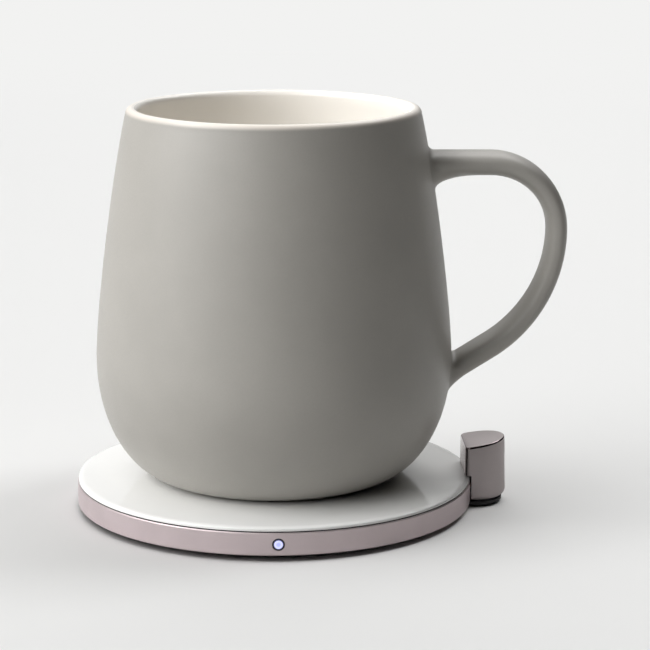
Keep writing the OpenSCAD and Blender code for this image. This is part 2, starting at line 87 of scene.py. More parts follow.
class PostFace(IntEnum):
    """The finishes of the power post's shell, as numbers of its material slots."""

    SKIN = 0
    EDGE = 1
    FLAT = 2
    # The corner slot holds a dark metal that paints a dark reflection line down the post's front corner.
    CORNER = 3


def linear(red: int, green: int, blue: int) -> Colour:
    """Turns a screen colour into the linear values that shaders take.

    Args:
        red: Red, 0 to 255.
        green: Green, 0 to 255.
        blue: Blue, 0 to 255.

    Returns:
        The same colour in linear light.
    """
    def one(value: int) -> float:
        """One channel in linear light."""
        v = value / 255
        return v / 12.92 if v <= 0.04045 else ((v + 0.055) / 1.055) ** 2.4

    return one(red), one(green), one(blue)


def shade(colour: Colour, factor: float, lift: float = 0.0) -> Colour:
    """A darker or paler version of a colour.

    Args:
        colour: The colour.
        factor: What each channel is multiplied by.
        lift: What is then added to it.

    Returns:
        The new colour.
    """
    red, green, blue = (factor * channel + lift for channel in colour)
    return red, green, blue


def cubic(a: Pair, b: Pair, c: Pair, d: Pair, steps: int) -> list[Pair]:
    """Points along a cubic curve in a plane.

    Args:
        a: Start.
        b: First handle.
        c: Second handle.
        d: End.
        steps: Number of equal steps of the parameter.

    Returns:
        steps + 1 points, each (radius, height).
    """
    points = []
    for i in range(steps + 1):
        t = i / steps
        w = ((1 - t) ** 3, 3 * (1 - t) ** 2 * t, 3 * (1 - t) * t * t, t ** 3)
        points.append((sum(k * p[0] for k, p in zip(w, (a, b, c, d))),
                       sum(k * p[1] for k, p in zip(w, (a, b, c, d)))))
    return points


class Bench:
    """The modelling steps that the sub-assemblies share, each made with Blender's own operators."""

    @staticmethod
    def mode(kind: str) -> None:
        """Changes the active object to OBJECT or EDIT mode."""
        bpy.ops.object.mode_set(mode=kind)

    @staticmethod
    def clear_selection() -> None:
        """Leaves edit mode and deselects every object."""
        if bpy.context.object is not None and bpy.context.object.mode != "OBJECT":
            Bench.mode("OBJECT")
        bpy.ops.object.select_all(action="DESELECT")

    @staticmethod
    def pick(obj: bpy.types.Object) -> None:
        """Makes one object the only selected and active one.

        Args:
            obj: The object.
        """
        Bench.clear_selection()
        obj.select_set(True)
        bpy.context.view_layer.objects.active = obj

    @staticmethod
    def edit(obj: bpy.types.Object) -> bmesh.types.BMesh:
        """Opens an object in edit mode.

        Args:
            obj: The object.

        Returns:
            Its edit mesh, with nothing selected.
        """
        Bench.pick(obj)
        Bench.mode("EDIT")
        bpy.ops.mesh.select_mode(type="VERT")
        bpy.ops.mesh.select_all(action="DESELECT")
        return bmesh.from_edit_mesh(obj.data)

    @staticmethod
    def take_all() -> None:
        """Selects the whole mesh, in edit mode."""
        bpy.ops.mesh.select_all(action="SELECT")

    @staticmethod
    def close() -> None:
        """Turns all normals of a closed mesh outwards and leaves edit mode."""
        bpy.ops.mesh.select_mode(type="VERT")
        Bench.take_all()
        bpy.ops.mesh.normals_make_consistent(inside=False)
        Bench.mode("OBJECT")

    @staticmethod
    def select(obj: bpy.types.Object, mode: str,
               test: Callable[[bmesh.types.BMVert | bmesh.types.BMEdge | bmesh.types.BMFace], bool]) -> int:
        """Selects what passes a test, in edit mode.

        Args:
            obj: The object being edited.
            mode: VERT, EDGE or FACE.
            test: Says whether an element is taken.

        Returns:
            How many were selected.
        """
        bpy.ops.mesh.select_mode(type=mode)
        bpy.ops.mesh.select_all(action="DESELECT")
        mesh = bmesh.from_edit_mesh(obj.data)
        elements = {"VERT": mesh.verts, "EDGE": mesh.edges, "FACE": mesh.faces}[mode]
        count = 0
        for element in elements:
            if test(element):
                element.select_set(True)
                count += 1
        mesh.select_flush_mode()
        bmesh.update_edit_mesh(obj.data)
        return count

    @staticmethod
    def name_last(name: str) -> bpy.types.Object:
        """Names the object that an operator has just added.

        Args:
            name: The name.

        Returns:
            The object.
        """
        obj = bpy.context.object
        obj.name = name
        obj.data.name = name
        return obj

    @staticmethod
    def line(name: str, points: Sequence[Point]) -> bpy.types.Object:
        """Draws an open line of edges by extruding one vertex from point to point.

        Args:
            name: Name of the new object.
            points: The points, in order.

        Returns:
            The line as a mesh object.
        """
        Bench.clear_selection()
        bpy.ops.mesh.primitive_plane_add(size=MM, location=(0, 0, 0))
        obj = Bench.name_last(name)
        Bench.edit(obj)
        Bench.take_all()
        bpy.ops.mesh.merge(type="CENTER")
        mesh = bmesh.from_edit_mesh(obj.data)
        mesh.verts.ensure_lookup_table()
        mesh.verts[0].co = points[0]
        bmesh.update_edit_mesh(obj.data)
        for before, after in zip(points, points[1:]):
            step = tuple(b - a for a, b in zip(before, after))
            bpy.ops.mesh.extrude_region_move(TRANSFORM_OT_translate={"value": step})
        Bench.mode("OBJECT")
        return obj

    @staticmethod
    def lathe(name: str, profile: Sequence[Pair], steps: int) -> bpy.types.Object:
        """Turns a profile about Z into a closed solid.

        Args:
            name: Name of the new object.
            profile: (radius, height) points in millimetres, from the axis round to the axis.
            steps: Steps of the full turn.

        Returns:
            The solid, its normals outwards.
        """
        obj = Bench.line(name, [(r * MM, 0.0, z * MM) for r, z in profile])
        Bench.edit(obj)
        Bench.take_all()
        bpy.ops.mesh.spin(steps=steps, angle=math.tau, center=(0, 0, 0), axis=(0, 0, 1))
        Bench.take_all()
        bpy.ops.mesh.remove_doubles(threshold=WELD)
        Bench.close()
        return obj

    @staticmethod
    def cut(obj: bpy.types.Object, cutter: bpy.types.Object) -> None:
        """Cuts an object by another, which is then removed.

        Args:
            obj: The object to shape.
            cutter: The cutting solid.
        """
        modifier = obj.modifiers.new("cut", "BOOLEAN")
        modifier.operation = "DIFFERENCE"
        modifier.solver = "EXACT"
        modifier.object = cutter
        Bench.pick(obj)
        bpy.ops.object.modifier_apply(modifier=modifier.name)
        bpy.data.objects.remove(cutter, do_unlink=True)

    @staticmethod
    def finish(obj: bpy.types.Object, angle: float = 30.0) -> None:
        """Applies the object's own transform, merges doubles and sets smooth shading.

        Args:
            obj: The object.
            angle: Edges sharper than this, in degrees, stay sharp.
        """
        Bench.pick(obj)
        bpy.ops.object.transform_apply(location=True, rotation=True, scale=True)
        Bench.edit(obj)
        Bench.take_all()
        bpy.ops.mesh.remove_doubles(threshold=TOUCHING)
        Bench.mode("OBJECT")
        bpy.ops.object.shade_smooth_by_angle(angle=math.radians(angle))
        Bench.clear_selection()
        log.info("%s: %d faces", obj.name, len(obj.data.polygons))


class NodeGraph:
    """The nodes of one material or world, added one by one."""

    def __init__(self, tree: bpy.types.NodeTree) -> None:
        """Starts with an empty tree.

        Args:
            tree: The node tree.
        """
        self.tree = tree
        self.tree.nodes.clear()

    def put(self, socket: bpy.types.NodeSocket, value: object) -> None:
        """Gives a socket a link, a colour or a plain value.

        Args:
            socket: The input.
            value: An output to link, three colour values, or what the socket holds.
        """
        if isinstance(value, bpy.types.NodeSocket):
            self.tree.links.new(value, socket)
        elif isinstance(value, tuple) and len(value) == 3 and socket.type == "RGBA":
            socket.default_value = (*value, 1.0)
        else:
            socket.default_value = value

    def fill(self, node: bpy.types.Node, **values: object) -> None:
        """Fills a node's inputs.

        Args:
            node: The node.
            values: What the inputs take, by name, with underscores for spaces.
        """
        for name, value in values.items():
            self.put(node.inputs[name.replace("_", " ")], value)

    def add(self, kind: str, **values: object) -> bpy.types.Node:
        """Adds a node.

        Args:
            kind: Its type, without the leading ShaderNode.
            values: What its inputs take, by name, with underscores for spaces.

        Returns:
            The node.
        """
        node = self.tree.nodes.new("ShaderNode" + kind)
        self.fill(node, **values)
        return node

    def span(self, value: bpy.types.NodeSocket, low: float, high: float, to_low: float = 0.0,
             to_high: float = 1.0) -> bpy.types.NodeSocket:
        """Maps a value's range to another, eased in and out.

        Args:
            value: The value.
            low: Where the source range starts.
            high: Where it ends.
            to_low: Result at low.
            to_high: Result at high.

        Returns:
            The mapped value, clamped.
        """
        node = self.add("MapRange", Value=value, From_Min=low, From_Max=high, To_Min=to_low, To_Max=to_high)
        node.interpolation_type = "SMOOTHSTEP"
        return node.outputs["Result"]

    def maths(self, kind: str, a: object, b: object) -> bpy.types.NodeSocket:
        """Reckons with two values.

        Args:
            kind: The operation.
            a: First value or socket.
            b: Second value or socket.

        Returns:
            The result.
        """
        node = self.add("Math")
        node.operation = kind
        self.put(node.inputs[0], a)
        self.put(node.inputs[1], b)
        return node.outputs["Value"]


class Paint(NodeGraph):
    """One procedural material under construction: a Principled shader and the nodes that feed it.

    Most values of a noise lie between the two that noise_range holds.
    """

    noise_range: Pair = (0.3, 0.7)

    def __init__(self, name: str) -> None:
        """Starts an empty material.

        Args:
            name: The material's name.
        """
        self.material = bpy.data.materials.new(name)
        self.material.use_nodes = True
        super().__init__(self.material.node_tree)
        self.shader = self.add("BsdfPrincipled")
        self.add("OutputMaterial", Surface=self.shader.outputs["BSDF"])
        self._place = self.add("TexCoord").outputs["Object"]

    def set(self, **values: object) -> None:
        """Sets inputs of the shader, named with underscores for spaces."""
        self.fill(self.shader, **values)

    def place(self, stretch: Point = (1, 1, 1), turn: Point = (0, 0, 0)) -> bpy.types.NodeSocket:
        """Object coordinates, stretched and turned.

        Args:
            stretch: Scale along each axis.
            turn: Rotation in radians.

        Returns:
            The mapped coordinates.
        """
        return self.add("Mapping", Vector=self._place, Scale=stretch, Rotation=turn).outputs["Vector"]

    def noise(self, scale: float, detail: float, rough: float = 0.5,
              at: bpy.types.NodeSocket | None = None) -> bpy.types.NodeSocket:
        """A noise value, about 0.5 on average.

        Args:
            scale: Features per metre.
            detail: Octaves.
            rough: How strong the finer octaves are.
            at: Coordinates, or None for plain Object coordinates.

        Returns:
            The value.
        """
        node = self.add("TexNoise", Vector=at or self._place, Scale=scale, Detail=detail, Roughness=rough)
        return node.outputs["Fac"]

    def vary(self, noise: bpy.types.NodeSocket, low: float = 0.0, high: float = 1.0) -> bpy.types.NodeSocket:
        """Spreads a noise's usual values over a range.

        Args:
            noise: The noise.
            low: Where the range starts.
            high: Where it ends.

        Returns:
            The spread value.
        """
        return self.span(noise, *self.noise_range, low, high)

    def cells(self, scale: float, feature: str = "F1") -> bpy.types.NodeSocket:
        """Distance in a cell pattern.

        Args:
            scale: Cells per metre.
            feature: F1 or DISTANCE_TO_EDGE.

        Returns:
            The distance.
        """
        node = self.add("TexVoronoi", Vector=self._place, Scale=scale)
        node.feature = feature
        return node.outputs["Distance"]

    def bands(self, scale: float, at: bpy.types.NodeSocket, rings: bool = False) -> bpy.types.NodeSocket:
        """A wave of bands along X, or of rings about Z.

        Args:
            scale: Bands per metre, roughly.
            at: Coordinates.
            rings: True for rings about Z.

        Returns:
            The wave's value, 0 to 1.
        """
        node = self.add("TexWave", Vector=at, Scale=scale, Distortion=0.0)
        node.wave_type = "RINGS" if rings else "BANDS"
        if rings:
            node.rings_direction = "Z"
        return node.outputs["Fac"]

    def distance(self, centre: Point = (0, 0, 0)) -> bpy.types.NodeSocket:
        """Distance from a point.

        Args:
            centre: The point, in metres.

        Returns:
            The distance in metres.
        """
        node = self.add("VectorMath")
        node.operation = "DISTANCE"
        self.put(node.inputs[0], self._place)
        self.put(node.inputs[1], centre)
        return node.outputs["Value"]

    def mix(self, share: object, a: object, b: object) -> bpy.types.NodeSocket:
        """Mixes two colours.

        Args:
            share: 0 for a, 1 for b.
            a: First colour or socket.
            b: Second colour or socket.

        Returns:
            The mixed colour.
        """
        node = self.add("Mix")
        node.data_type = "RGBA"
        for number, value in ((0, share), (6, a), (7, b)):
            self.put(node.inputs[number], value)
        return node.outputs[2]

    def bump(self, height: bpy.types.NodeSocket, depth: float, strength: float) -> bpy.types.NodeSocket:
        """Relief from a height value.

        Args:
            height: The height, 0 to 1.
            depth: Depth of the relief in metres.
            strength: Share of it that is used.

        Returns:
            The bent normal.
        """
        return self.add("Bump", Height=height, Distance=depth, Strength=strength).outputs["Normal"]

    def attribute(self, name: str) -> bpy.types.NodeSocket:
        """The value of a mesh attribute.

        Args:
            name: The attribute's name.

        Returns:
            Its value.
        """
        node = self.add("Attribute")
        node.attribute_name = name
        return node.outputs["Fac"]


@dataclass(frozen=True)
class Finish:
    """A finish of one of the real materials. Each kind fills in its own nodes.

    Scales are features per metre, and reliefs are metres deep.
    """

    name: str

    def nodes(self, paint: Paint) -> None:
        """Adds this finish's nodes to a material.

        Args:
            paint: The material.
        """
        raise NotImplementedError(f"{paint.material.name} needs a finish of its own")

    def material(self) -> bpy.types.Material:
        """The finish as a material, made on first use.

        Returns:
            The material.
        """
        found = bpy.data.materials.get(self.name)
        if found is not None:
            return found
        paint = Paint(self.name)
        self.nodes(paint)
        return paint.material

    def dress(self, obj: bpy.types.Object) -> None:
        """Gives the whole object this finish."""
        obj.data.materials.clear()
        obj.data.materials.append(self.material())


@dataclass(frozen=True)
class TwoGlazes(Finish):
    """Soft matte grey outside and glossy ivory inside, meeting on the lip.

    The mesh carries an attribute with the distance, in millimetres, from the line where
    the glazes meet, positive outside. The bands below are such distances.
    """

    outside: Colour = linear(174, 171, 165)
    inside: Colour = linear(251, 247, 240)
    lip: Colour = linear(232, 224, 214)
    attribute: str = "glaze_mm"
    wander: float = 0.08
    grey_band: Pair = (0.1, 1.6)
    lip_band: Pair = (-1.6, -0.1)
    dull_band: Pair = (-4.0, -0.5)
    matte: Pair = (0.40, 0.48)
    gloss: Pair = (0.10, 0.14)
    dulling: float = 0.18
    speckle: float = 0.12
    relief: float = 0.000012

    def nodes(self, paint: Paint) -> None:
        """Mixes the glazes across a slightly uneven line.

        Args:
            paint: The material.
        """
        uneven = paint.vary(paint.noise(60, 1), -self.wander, self.wander)
        distance = paint.maths("ADD", paint.attribute(self.attribute), uneven)
        outer = paint.span(distance, *self.grey_band)
        inner = paint.maths("SUBTRACT", 1.0, outer)
        cloud, grain = paint.noise(38, 3, 0.55), paint.noise(2600, 2, 0.6)
        grey = paint.mix(paint.vary(cloud), shade(self.outside, 0.955), shade(self.outside, 1.03))
        specks = paint.span(grain, 0.35, 0.65, 0.0, self.speckle)
        grey = paint.mix(specks, grey, shade(self.outside, 0.8))
        ivory = paint.mix(paint.span(distance, *self.lip_band), self.inside, self.lip)
        paint.set(Base_Color=paint.mix(outer, ivory, grey), IOR=1.5)
        rough = paint.vary(grain, *self.matte)
        smooth = paint.maths("ADD", paint.vary(cloud, *self.gloss),
                             paint.span(distance, *self.dull_band, 0.0, self.dulling))
        paint.set(Roughness=paint.maths("ADD", paint.maths("MULTIPLY", rough, outer),
                                        paint.maths("MULTIPLY", smooth, inner)))
        relief = paint.maths("MULTIPLY", paint.maths("ADD", grain, paint.noise(420, 2)), outer)
        paint.set(Normal=paint.bump(relief, self.relief, 0.5))


@dataclass(frozen=True)
class BackedGlass(Finish):
    """Polished glass with a white backing."""

    white: Colour = linear(247, 247, 245)
    smudges: float = 70.0
    rough: Pair = (0.015, 0.05)

    def nodes(self, paint: Paint) -> None:
        """A clean gloss over white, with faint handling marks.

        Args:
            paint: The material.
        """
        smudge = paint.noise(self.smudges, 4, 0.6)
        tone = paint.mix(paint.span(smudge, 0.35, 0.65), self.white, shade(self.white, 0.985))
        paint.set(Base_Color=tone, IOR=1.5)
        paint.set(Roughness=paint.span(smudge, 0.35, 0.75, *self.rough))


@dataclass(frozen=True)
class Anodised(Finish):
    """Bead-blasted aluminium with a tinted anodised skin."""

    tint: Colour = linear(209, 195, 197)
    rough: float = 0.44
    grain: float = 5200.0
    clouds: float = 90.0
    metal: float = 0.5
    relief: float = 0.00001

    def nodes(self, paint: Paint) -> None:
        """A fine even sparkle and a barely uneven tint.

        Args:
            paint: The material.
        """
        tone = paint.mix(paint.vary(paint.noise(self.clouds, 3)), self.tint, shade(self.tint, 0.94))
        paint.set(Base_Color=tone, Metallic=self.metal)
        sparkle = paint.noise(self.grain / 2, 2)
        paint.set(Roughness=paint.vary(sparkle, self.rough - 0.04, self.rough + 0.05))
        paint.set(Normal=paint.bump(paint.cells(self.grain), self.relief, 0.35))


@dataclass(frozen=True)
class PolishedCut(Finish):
    """The bright cut along an edge of the anodised metal. With a dark tint, it is a painted dark reflection
    line instead.
    """

    tint: Colour = linear(150, 138, 140)
    lines: float = 1800.0
    rough: Pair = (0.10, 0.16)

    def nodes(self, paint: Paint) -> None:
        """Nearly a mirror, with faint cutter lines.

        Args:
            paint: The material.
        """
        lines = paint.bands(self.lines, paint.place((0.2, 0.2, 1)))
        paint.set(Base_Color=self.tint, Metallic=1.0)
        paint.set(Roughness=paint.span(lines, 0, 1, *self.rough))


@dataclass(frozen=True)
class Moulded(Finish):
    """Moulded plastic with a fine spark-eroded texture."""

    colour: Colour = linear(44, 44, 46)
    rough: float = 0.55
    pits: float = 3800.0
    flow: float = 60.0
    relief: float = 0.00002

    def nodes(self, paint: Paint) -> None:
        """Texture in relief and in gloss.

        Args:
            paint: The material.
        """
        pits = paint.noise(self.pits, 3, 0.65)
        flow = paint.vary(paint.noise(self.flow, 2))
        paint.set(Base_Color=paint.mix(flow, self.colour, shade(self.colour, 0.86)))
        paint.set(Roughness=paint.vary(pits, self.rough - 0.07, self.rough + 0.08))
        paint.set(Normal=paint.bump(pits, self.relief, 0.5))


@dataclass(frozen=True)
class Silicone(Finish):
    """Soft matte silicone with a trace of dust."""

    colour: Colour = linear(50, 50, 52)
    patches: float = 240.0
    bloom: float = 0.35
    rough: Pair = (0.72, 0.85)
    relief: float = 0.00002

    def nodes(self, paint: Paint) -> None:
        """Dull, with a paler bloom in patches.

        Args:
            paint: The material.
        """
        dust = paint.noise(self.patches, 5, 0.7)
        share = paint.span(dust, 0.45, 0.8, 0.0, self.bloom)
        tone = paint.mix(share, self.colour, shade(self.colour, 1.7, 0.01))
        paint.set(Base_Color=tone, Specular_IOR_Level=0.3)
        paint.set(Roughness=paint.vary(dust, *self.rough))
        paint.set(Normal=paint.bump(paint.noise(1500, 2), self.relief, 0.4))


@dataclass(frozen=True)
class LitPipe(Finish):
    """The end of a light pipe, lit from behind.

    The two edges are shares of the pipe's radius.
    """

    core: Colour = linear(180, 188, 246)
    rim: Colour = linear(214, 218, 253)
    ring: Colour = linear(84, 86, 128)
    centre: Point = (0.0, -0.0520, 0.0044)
    radius: float = 0.0012
    core_edge: Pair = (0.2, 0.7)
    ring_edge: Pair = (0.82, 0.95)
    glow: float = 0.55

    def nodes(self, paint: Paint) -> None:
        """Pale violet in the middle, paler round it, dark at the edge.

        Args:
            paint: The material.
        """
        away = paint.distance(self.centre)
        share, edge = (paint.span(away, low * self.radius, high * self.radius)
                       for low, high in (self.core_edge, self.ring_edge))
        tone = paint.mix(edge, paint.mix(share, self.core, self.rim), self.ring)
        paint.set(Base_Color=tone, Emission_Color=tone, Emission_Strength=self.glow)
        paint.set(Roughness=paint.vary(paint.noise(2500, 2), 0.2, 0.3))


@dataclass(frozen=True)
class Laminate(Finish):
    """A circuit board: weave and tracks under solder mask."""

    mask: Colour = linear(38, 92, 60)
    track: Colour = linear(58, 124, 78)
    tracks: float = 420.0
    weave: float = 900.0
    relief: float = 0.00003

    def nodes(self, paint: Paint) -> None:
        """Paler tracks over a faint glass-fibre weave.

        Args:
            paint: The material.
        """
        tracks = paint.span(paint.cells(self.tracks, "DISTANCE_TO_EDGE"), 0.05, 0.09, 1.0, 0.0)
        weave = paint.maths("MULTIPLY", paint.bands(self.weave, paint.place()),
                            paint.bands(self.weave, paint.place(turn=(0, 0, math.pi / 2))))
        ground = paint.mix(weave, self.mask, shade(self.mask, 0.8))
        paint.set(Base_Color=paint.mix(tracks, ground, self.track))
        paint.set(Roughness=paint.span(weave, 0, 1, 0.28, 0.4))
        paint.set(Normal=paint.bump(tracks, self.relief, 0.6))


@dataclass(frozen=True)
class Package(Finish):
    """Small parts on the boards, moulded or fired."""

    colour: Colour = linear(34, 34, 36)
    fleck: float = 0.25
    rough: float = 0.5

    def nodes(self, paint: Paint) -> None:
        """Fine flecks in a dull body.

        Args:
            paint: The material.
        """
        flecks = paint.span(paint.noise(6000, 2, 0.7), 0.5, 0.75, 0.0, self.fleck)
        paint.set(Base_Color=paint.mix(flecks, self.colour, shade(self.colour, 1.6, 0.02)))
        paint.set(Roughness=paint.vary(paint.noise(900, 3), self.rough - 0.06, self.rough + 0.08))


@dataclass(frozen=True)
class Winding(Finish):
    """Enamelled copper wire, wound in fine strands."""

    copper: Colour = linear(190, 110, 60)
    strands: float = 2200.0
    rough: Pair = (0.24, 0.36)
    relief: float = 0.00004

    def nodes(self, paint: Paint) -> None:
        """Strands run round the coil.

        Args:
            paint: The material.
        """
        strands = paint.bands(self.strands, paint.place((1, 1, 0)), rings=True)
        # The copper darkens to 0.55 between the strands: painted shade in the grooves between the turns.
        tone = paint.mix(strands, shade(self.copper, 0.55), self.copper)
        paint.set(Base_Color=tone, Metallic=0.85, Coat_Weight=0.5, Coat_Roughness=0.12)
        paint.set(Roughness=paint.vary(paint.noise(700, 3), *self.rough))
        paint.set(Normal=paint.bump(strands, self.relief, 0.6))


@dataclass(frozen=True)
class Turned(Finish):
    """Steel with fine turning or brushing marks."""

    steel: Colour = linear(200, 201, 204)
    rough: float = 0.28
    stretch: Point = (1, 1, 40)
    relief: float = 0.00001

    def nodes(self, paint: Paint) -> None:
        """Marks in gloss and relief along one direction.

        Args:
            paint: The material.
        """
        marks = paint.noise(260, 4, 0.6, paint.place(self.stretch))
        tone = paint.mix(paint.vary(marks), self.steel, shade(self.steel, 0.88))
        paint.set(Base_Color=tone, Metallic=1.0)
        paint.set(Roughness=paint.vary(marks, self.rough - 0.08, self.rough + 0.1))
        paint.set(Normal=paint.bump(marks, self.relief, 0.4))


@dataclass(frozen=True)
class Fibre(Finish):
    """Pressed ceramic fibre."""

    colour: Colour = linear(232, 226, 212)
    rough: Pair = (0.85, 0.95)
    relief: float = 0.00015

    def nodes(self, paint: Paint) -> None:
        """Tangled fibres.

        Args:
            paint: The material.
        """
        tangle = paint.noise(1300, 6, 0.75, paint.place((1, 2.5, 1), (0.3, 0.2, 0.7)))
        tone = paint.mix(paint.vary(tangle), shade(self.colour, 0.8), self.colour)
        paint.set(Base_Color=tone, Sheen_Weight=0.2)
        paint.set(Roughness=paint.vary(tangle, *self.rough))
        paint.set(Normal=paint.bump(tangle, self.relief, 0.7))


@dataclass(frozen=True)
class Resin(Finish):
    """Cast amber resin or film."""

    colour: Colour = linear(214, 172, 92)
    cloudy: float = 500.0
    rough: Pair = (0.18, 0.3)

    def nodes(self, paint: Paint) -> None:
        """Gloss over a cloudy body.

        Args:
            paint: The material.
        """
        cloud = paint.noise(self.cloudy, 4)
        paint.set(Base_Color=paint.mix(paint.vary(cloud), self.colour, shade(self.colour, 0.75)))
        paint.set(Roughness=paint.vary(cloud, *self.rough))


@dataclass(frozen=True)
class Studio(Finish):
    """The pale seamless paper under and behind the object.

    It fades into the backdrop between two distances from the origin, in metres.
    """

    pale: Colour = linear(236, 236, 235)
    bounce: Colour = linear(188, 187, 185)
    far: Colour = linear(242, 242, 241)
    fade: Pair = (0.4, 1.2)
    tooth: float = 0.02

    def nodes(self, paint: Paint) -> None:
        """Matte paper, pale to the eye and in gloss, that throws less light back on the object.

        Far from the object, past the lamps' reach, it runs into the pale backdrop.

        Args:
            paint: The material.
        """
        rays = paint.add("LightPath").outputs
        seen = paint.maths("MAXIMUM", rays["Is Camera Ray"], rays["Is Glossy Ray"])
        seen = paint.maths("MAXIMUM", seen, rays["Is Transmission Ray"])
        tooth = paint.vary(paint.noise(900, 2), 0.0, self.tooth)
        paper = paint.mix(tooth, self.pale, shade(self.pale, 0.9))
        share = paint.maths("MULTIPLY", seen, paint.span(paint.distance(), *self.fade))
        near = paint.mix(seen, self.bounce, paper)
        paint.set(Base_Color=paint.mix(share, near, BLACK), Specular_IOR_Level=0.0, Roughness=0.9)
        paint.set(Emission_Color=self.far, Emission_Strength=share)


@dataclass(frozen=True)
class Fillet:
    """How a joint of the handle flares: at its sides, and what its under and upper side add.

    Each pair is the reach along the arm and the spread on the wall, in millimetres.
    """

    side: Pair
    under: Pair
    over: Pair


@dataclass
class MugShell:
    """The ceramic mug: one turned wall with the handle drawn smoothly out of it.

    Sizes are millimetres above the mug's foot, as a potter's drawing gives them. The pulls
    are how far a curve's own handles reach from its ends.
    """

    foot_z: float = 8.65
    height: float = 97.0
    belly_r: float = 46.5
    belly_z: float = 31.5
    lip_r: float = 38.1
    lip_lean: float = 12.5
    lip_pull: float = 18.5
    belly_pull: Pair = (18.0, 11.0)
    foot_r: float = 27.0
    foot_pull: float = 10.5
    foot_ease: float = 0.15
    wall: float = 3.2
    cup_floor_z: float = 13.0
    cup_floor_r: float = 26.0
    cup_pull: Pair = (11.0, 6.0)
    bay_r: float = 22.5
    bay_h: float = 10.0
    ledge_r: float = 24.3
    ledge_z: float = 2.2
    handle_turn: float = -1.0
    arm_z: float = 82.4
    grip_x: float = 73.5
    upper_bend: float = 17.5
    lower_bend: float = 36.5
    lower_turn: float = 58.0
    arm_start: float = 30.0
    arm_run: float = 30.0
    arm_margins: Pair = (2.0, 3.5)
    joints_apart: float = 25.0
    grip_t: float = 5.4
    grip_w: float = 12.0
    swell_t: float = 0.8
    swell_w: float = 1.5
    squareness: float = 2.6
    flare_power: float = 1.6
    fillets: dict[Root, Fillet] = field(default_factory=lambda: {
        Root.UPPER: Fillet(side=(1.5, 1.4), under=(11.0, 2.7), over=(0.1, 0.2)),
        Root.LOWER: Fillet(side=(2.0, 1.9), under=(-0.5, -0.5), over=(3.5, 0.2)),
    })
    steps: int = 192
    curve_steps: tuple[int, int, int] = (80, 120, 60)
    lip_steps: int = 14
    floor_steps: int = 8
    hole_columns: int = 16
    hole_rows: int = 12
    row: float = 1.2
    ring_gap: float = 1.5
    probe: float = 0.6
    halvings: int = 40
    settles: int = 3
    glaze_angle: float = 56.0
    glaze_reach: float = 6.0
    floor_margin: float = 0.5
    glaze: TwoGlazes = field(default_factory=lambda: TwoGlazes("two_glazes"))
    outer: list[Pair] = field(default_factory=list)
    name: str = "mug_shell"

    @property
    def lip_round(self) -> float:
        """Radius of the rolled lip."""
        return self.wall / 2

    @property
    def lip_z(self) -> float:
        """Height of the lip's centre."""
        return self.height - self.lip_round

    @property
    def sides(self) -> int:
        """Points round a section of the handle, as many as round its hole in the wall."""
        return 2 * (self.hole_columns + self.hole_rows)

    def even(self, points: Sequence[Pair], gap: float) -> list[Pair]:
        """Spaces points evenly along a line.

        Args:
            points: The line.
            gap: Wanted spacing.

        Returns:
            The new points, both ends kept.
        """
        runs = [0.0]
        for a, b in zip(points, points[1:]):
            runs.append(runs[-1] + math.dist(a, b))
        count = max(2, round(runs[-1] / gap))
        made, k = [], 0
        for i in range(count + 1):
            want = runs[-1] * i / count
            while k < len(points) - 2 and runs[k + 1] < want:
                k += 1
            t = (want - runs[k]) / max(1e-9, runs[k + 1] - runs[k])
            made.append(tuple(a + (b - a) * t for a, b in zip(points[k], points[k + 1])))
        return made

    def profile(self) -> list[Pair]:
        """The wall's section, from the axis in the bay round to the axis at the cup's floor.

        The outside of it is kept for wall_r.

        Returns:
            (radius, height) points above the foot.
        """
        low_steps, up_steps, inner_steps = self.curve_steps
        pull_down, pull_up = self.belly_pull
        lean = math.tan(math.radians(self.lip_lean))
        belly = (self.belly_r, self.belly_z)
        low = cubic((self.foot_r, 0), (self.foot_r + self.foot_pull, 0),
                    (self.belly_r, self.belly_z - pull_down), belly, low_steps)
        up = cubic(belly, (self.belly_r, self.belly_z + pull_up),
                   (self.lip_r + self.lip_pull * lean, self.lip_z - self.lip_pull),
                   (self.lip_r, self.lip_z), up_steps)
        self.outer = self.even(low + up[1:], self.row)
        centre = self.lip_r - self.lip_round
        lip = [(centre + self.lip_round * math.cos(a), self.lip_z + self.lip_round * math.sin(a))
               for a in (math.pi * i / self.lip_steps for i in range(1, self.lip_steps))]
        inside = self.belly_r - self.wall
        pull_out, pull_off = self.cup_pull
        inner_up = [(r - self.wall, z) for r, z in reversed(up)]
        inner_low = cubic((inside, self.belly_z), (inside, self.cup_floor_z + pull_off),
                          (self.cup_floor_r + pull_out, self.cup_floor_z),
                          (self.cup_floor_r, self.cup_floor_z), inner_steps)
        inner = self.even(inner_up + inner_low[1:], 2 * self.row)
        floor = [(self.cup_floor_r * (1 - i / self.floor_steps), self.cup_floor_z)
                 for i in range(1, self.floor_steps + 1)]
        bay = [(0, self.bay_h), (self.bay_r / 2, self.bay_h), (self.bay_r, self.bay_h),
               (self.bay_r, self.ledge_z), (self.ledge_r, self.ledge_z),
               (self.ledge_r, self.foot_ease), (self.ledge_r + self.foot_ease, 0)]
        return bay + self.outer + lip + inner + floor

    def wall_r(self, z: float) -> float:
        """The outside radius at a height.

        Args:
            z: The height.

        Returns:
            The radius.
        """
        for (r0, z0), (r1, z1) in zip(self.outer, self.outer[1:]):
            if z <= z1:
                return r0 + (r1 - r0) * (z - z0) / max(1e-9, z1 - z0)
        return self.outer[-1][0]

    def off_wall(self, p: Vector) -> tuple[float, Vector]:
        """How far a point stands off the outside, and the wall's normal there.

        Args:
            p: The point.

        Returns:
            The distance, positive outside, and the unit normal.
        """
        r = math.hypot(p.x, p.y)
        slope = (self.wall_r(p.z + self.probe) - self.wall_r(p.z - self.probe)) / (2 * self.probe)
        normal = Vector((p.x / r, p.y / r, -slope)).normalized()
        return (r - self.wall_r(p.z)) / math.hypot(1, slope), normal

